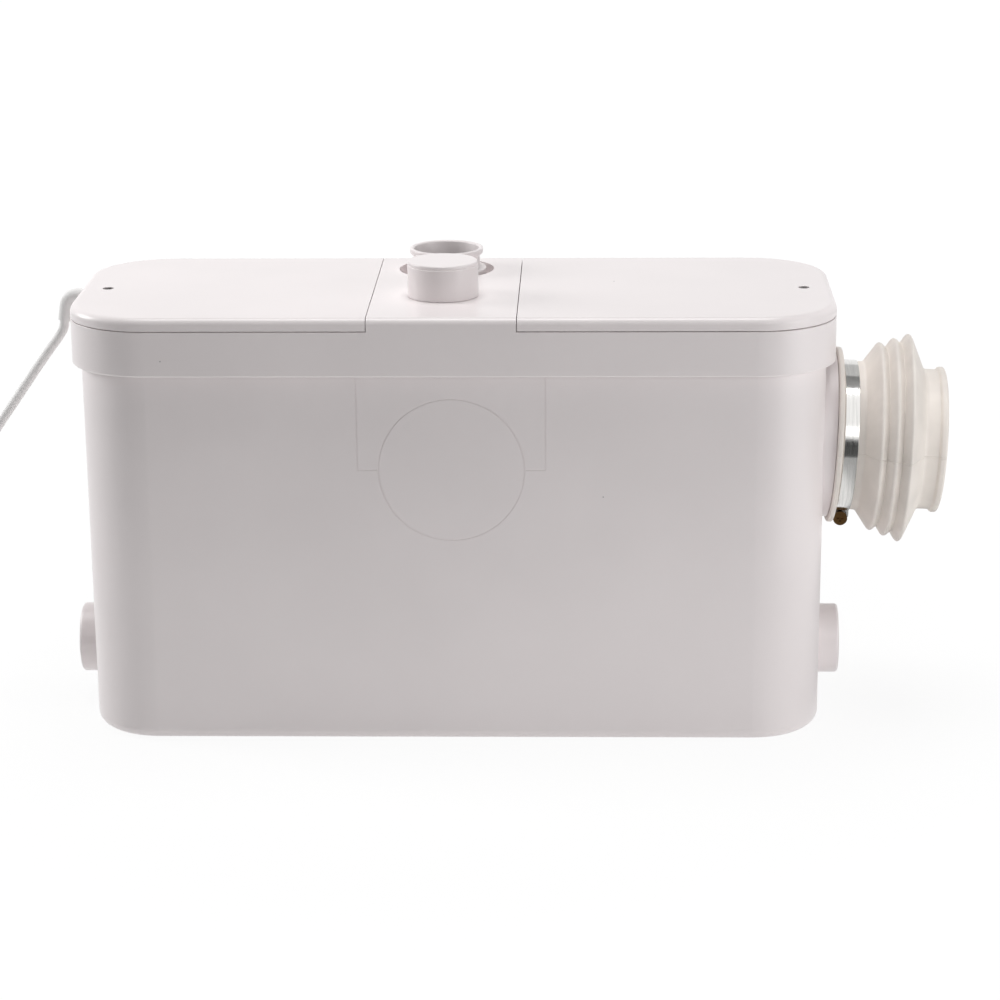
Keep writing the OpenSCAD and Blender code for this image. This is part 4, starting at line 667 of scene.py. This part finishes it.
world = bpy.data.worlds.new("studio_air")
bpy.context.scene.world = world
world.use_nodes = True
air_light = 0.05
air_wire = Wire(world.node_tree)
air_seen = air_wire.make("LightPath", {}, {}, "Is Camera Ray")
air_mirrored = Wire(world.node_tree, air_seen.socket.node.outputs["Is Glossy Ray"])
air_shown = air_seen.math("MAXIMUM", air_seen, air_mirrored)
air_wire.fill(world.node_tree.nodes["Background"], {
    "Color": (1, 1, 1, 1),
    "Strength": air_light + air_shown * (1.0 - air_light),
})


def lamp(name, place, aim, size, power):
    """A square soft lamp at a place, turned towards its aim."""
    light = bpy.data.lights.new(name, "AREA")
    light.shape = "SQUARE"
    light.size = size
    light.energy = power
    piece = bpy.data.objects.new(name, light)
    bpy.context.scene.collection.objects.link(piece)
    back = np.subtract(place, aim)
    back /= np.linalg.norm(back)
    side = np.cross((0.0, 1.0, 0.0), back)
    side /= np.linalg.norm(side)
    matrix = np.eye(4)
    matrix[:3] = np.stack([side, np.cross(back, side), back, place], axis=1)
    piece.matrix_world = matrix.T.tolist()


lamp("overhead", (0.0, 0.15, 2.2), (0.0, 0.0, 0.2), 1.2, 30.0)
lamp("left_side", (-1.6, 0.35, 0.8), (-0.2, 0.0, 0.15), 0.7, 14.0)
lamp("right_side", (1.0, -0.55, 0.3), (0.2, 0.0, 0.12), 0.7, 4.2)
lamp("front", (0.9, -2.2, 0.9), (0.0, 0.0, 0.15), 1.2, 5.0)


def card(name, corners, strength):
    """A flat card that only glossy surfaces show: its four corners in metres, and how bright it looks."""
    mesh = bpy.data.meshes.new(name)
    mesh.from_pydata(corners, [], [(0, 1, 2, 3)])
    tone = bpy.data.materials.new(name)
    tone.use_nodes = True
    tone.node_tree.nodes.remove(tone.node_tree.nodes["Principled BSDF"])
    tone_wire = Wire(tone.node_tree)
    shine = tone_wire.make("Emission", {}, {"Color": (1, 1, 1, 1), "Strength": strength})
    tone_wire.fill(tone.node_tree.nodes["Material Output"], {"Surface": shine})
    tone.cycles.emission_sampling = "NONE"
    mesh.materials.append(tone)
    piece = bpy.data.objects.new(name, mesh)
    bpy.context.scene.collection.objects.link(piece)
    piece.visible_camera = False
    piece.visible_diffuse = False
    piece.visible_transmission = False
    piece.visible_shadow = False


# A dark table end, room and ceiling between bright screens give the clamp's band its light and dark parts.
card("table_end", [(-4, -6, 0.001), (4, -6, 0.001), (4, -0.52, 0.001), (-4, -0.52, 0.001)], 0.08)
card("dark_room", [(-4, -3, 0.001), (4, -3, 0.001), (4, -3, 0.9), (-4, -3, 0.9)], 0.05)
card("front_screen", [(-1, -2.6, 1.1), (1.5, -2.6, 1.1), (1.5, -0.3, 2.1), (-1, -0.3, 2.1)], 1.1)
card("dark_ceiling", [(-0.5, -0.05, 1.1), (1, -0.05, 1.1), (1, 0.42, 1.1), (-0.5, 0.42, 1.1)], 0.05)
card("rear_screen", [(-0.5, 0.42, 1.1), (1, 0.42, 1.1), (1, 1.6, 1.1), (-0.5, 1.6, 1.1)], 0.6)
card("floor_shade", [(0.26, -0.5, 0.001), (0.5, -0.5, 0.001), (0.5, 0.3, 0.001), (0.26, 0.3, 0.001)], 0.4)

image_px = 1000
focal_px = 3109.954
sensor_mm = 36
camera_data = bpy.data.cameras.new("camera")
camera_data.lens = focal_px * sensor_mm / image_px
camera_data.sensor_width = sensor_mm
camera_data.clip_end = 100
camera = bpy.data.objects.new("camera", camera_data)
bpy.context.scene.collection.objects.link(camera)
# The camera's axes and its place in metres come from the fit to points of the object in the photograph.
forward = np.array([-0.02887292, 0.96005068, -0.27833261])
right = np.array([0.999583, 0.02785165, -0.00762356])
up = np.array([-0.000433016, 0.278436663, 0.960454495])
stand = np.array([0.08604576, -1.94429588, 0.69817191])
camera_matrix = np.eye(4)
camera_matrix[:3] = np.stack([right, up, -forward, stand], axis=1)
camera.matrix_world = camera_matrix.T.tolist()
bpy.context.scene.camera = camera
bpy.context.scene.view_settings.view_transform = "Standard"
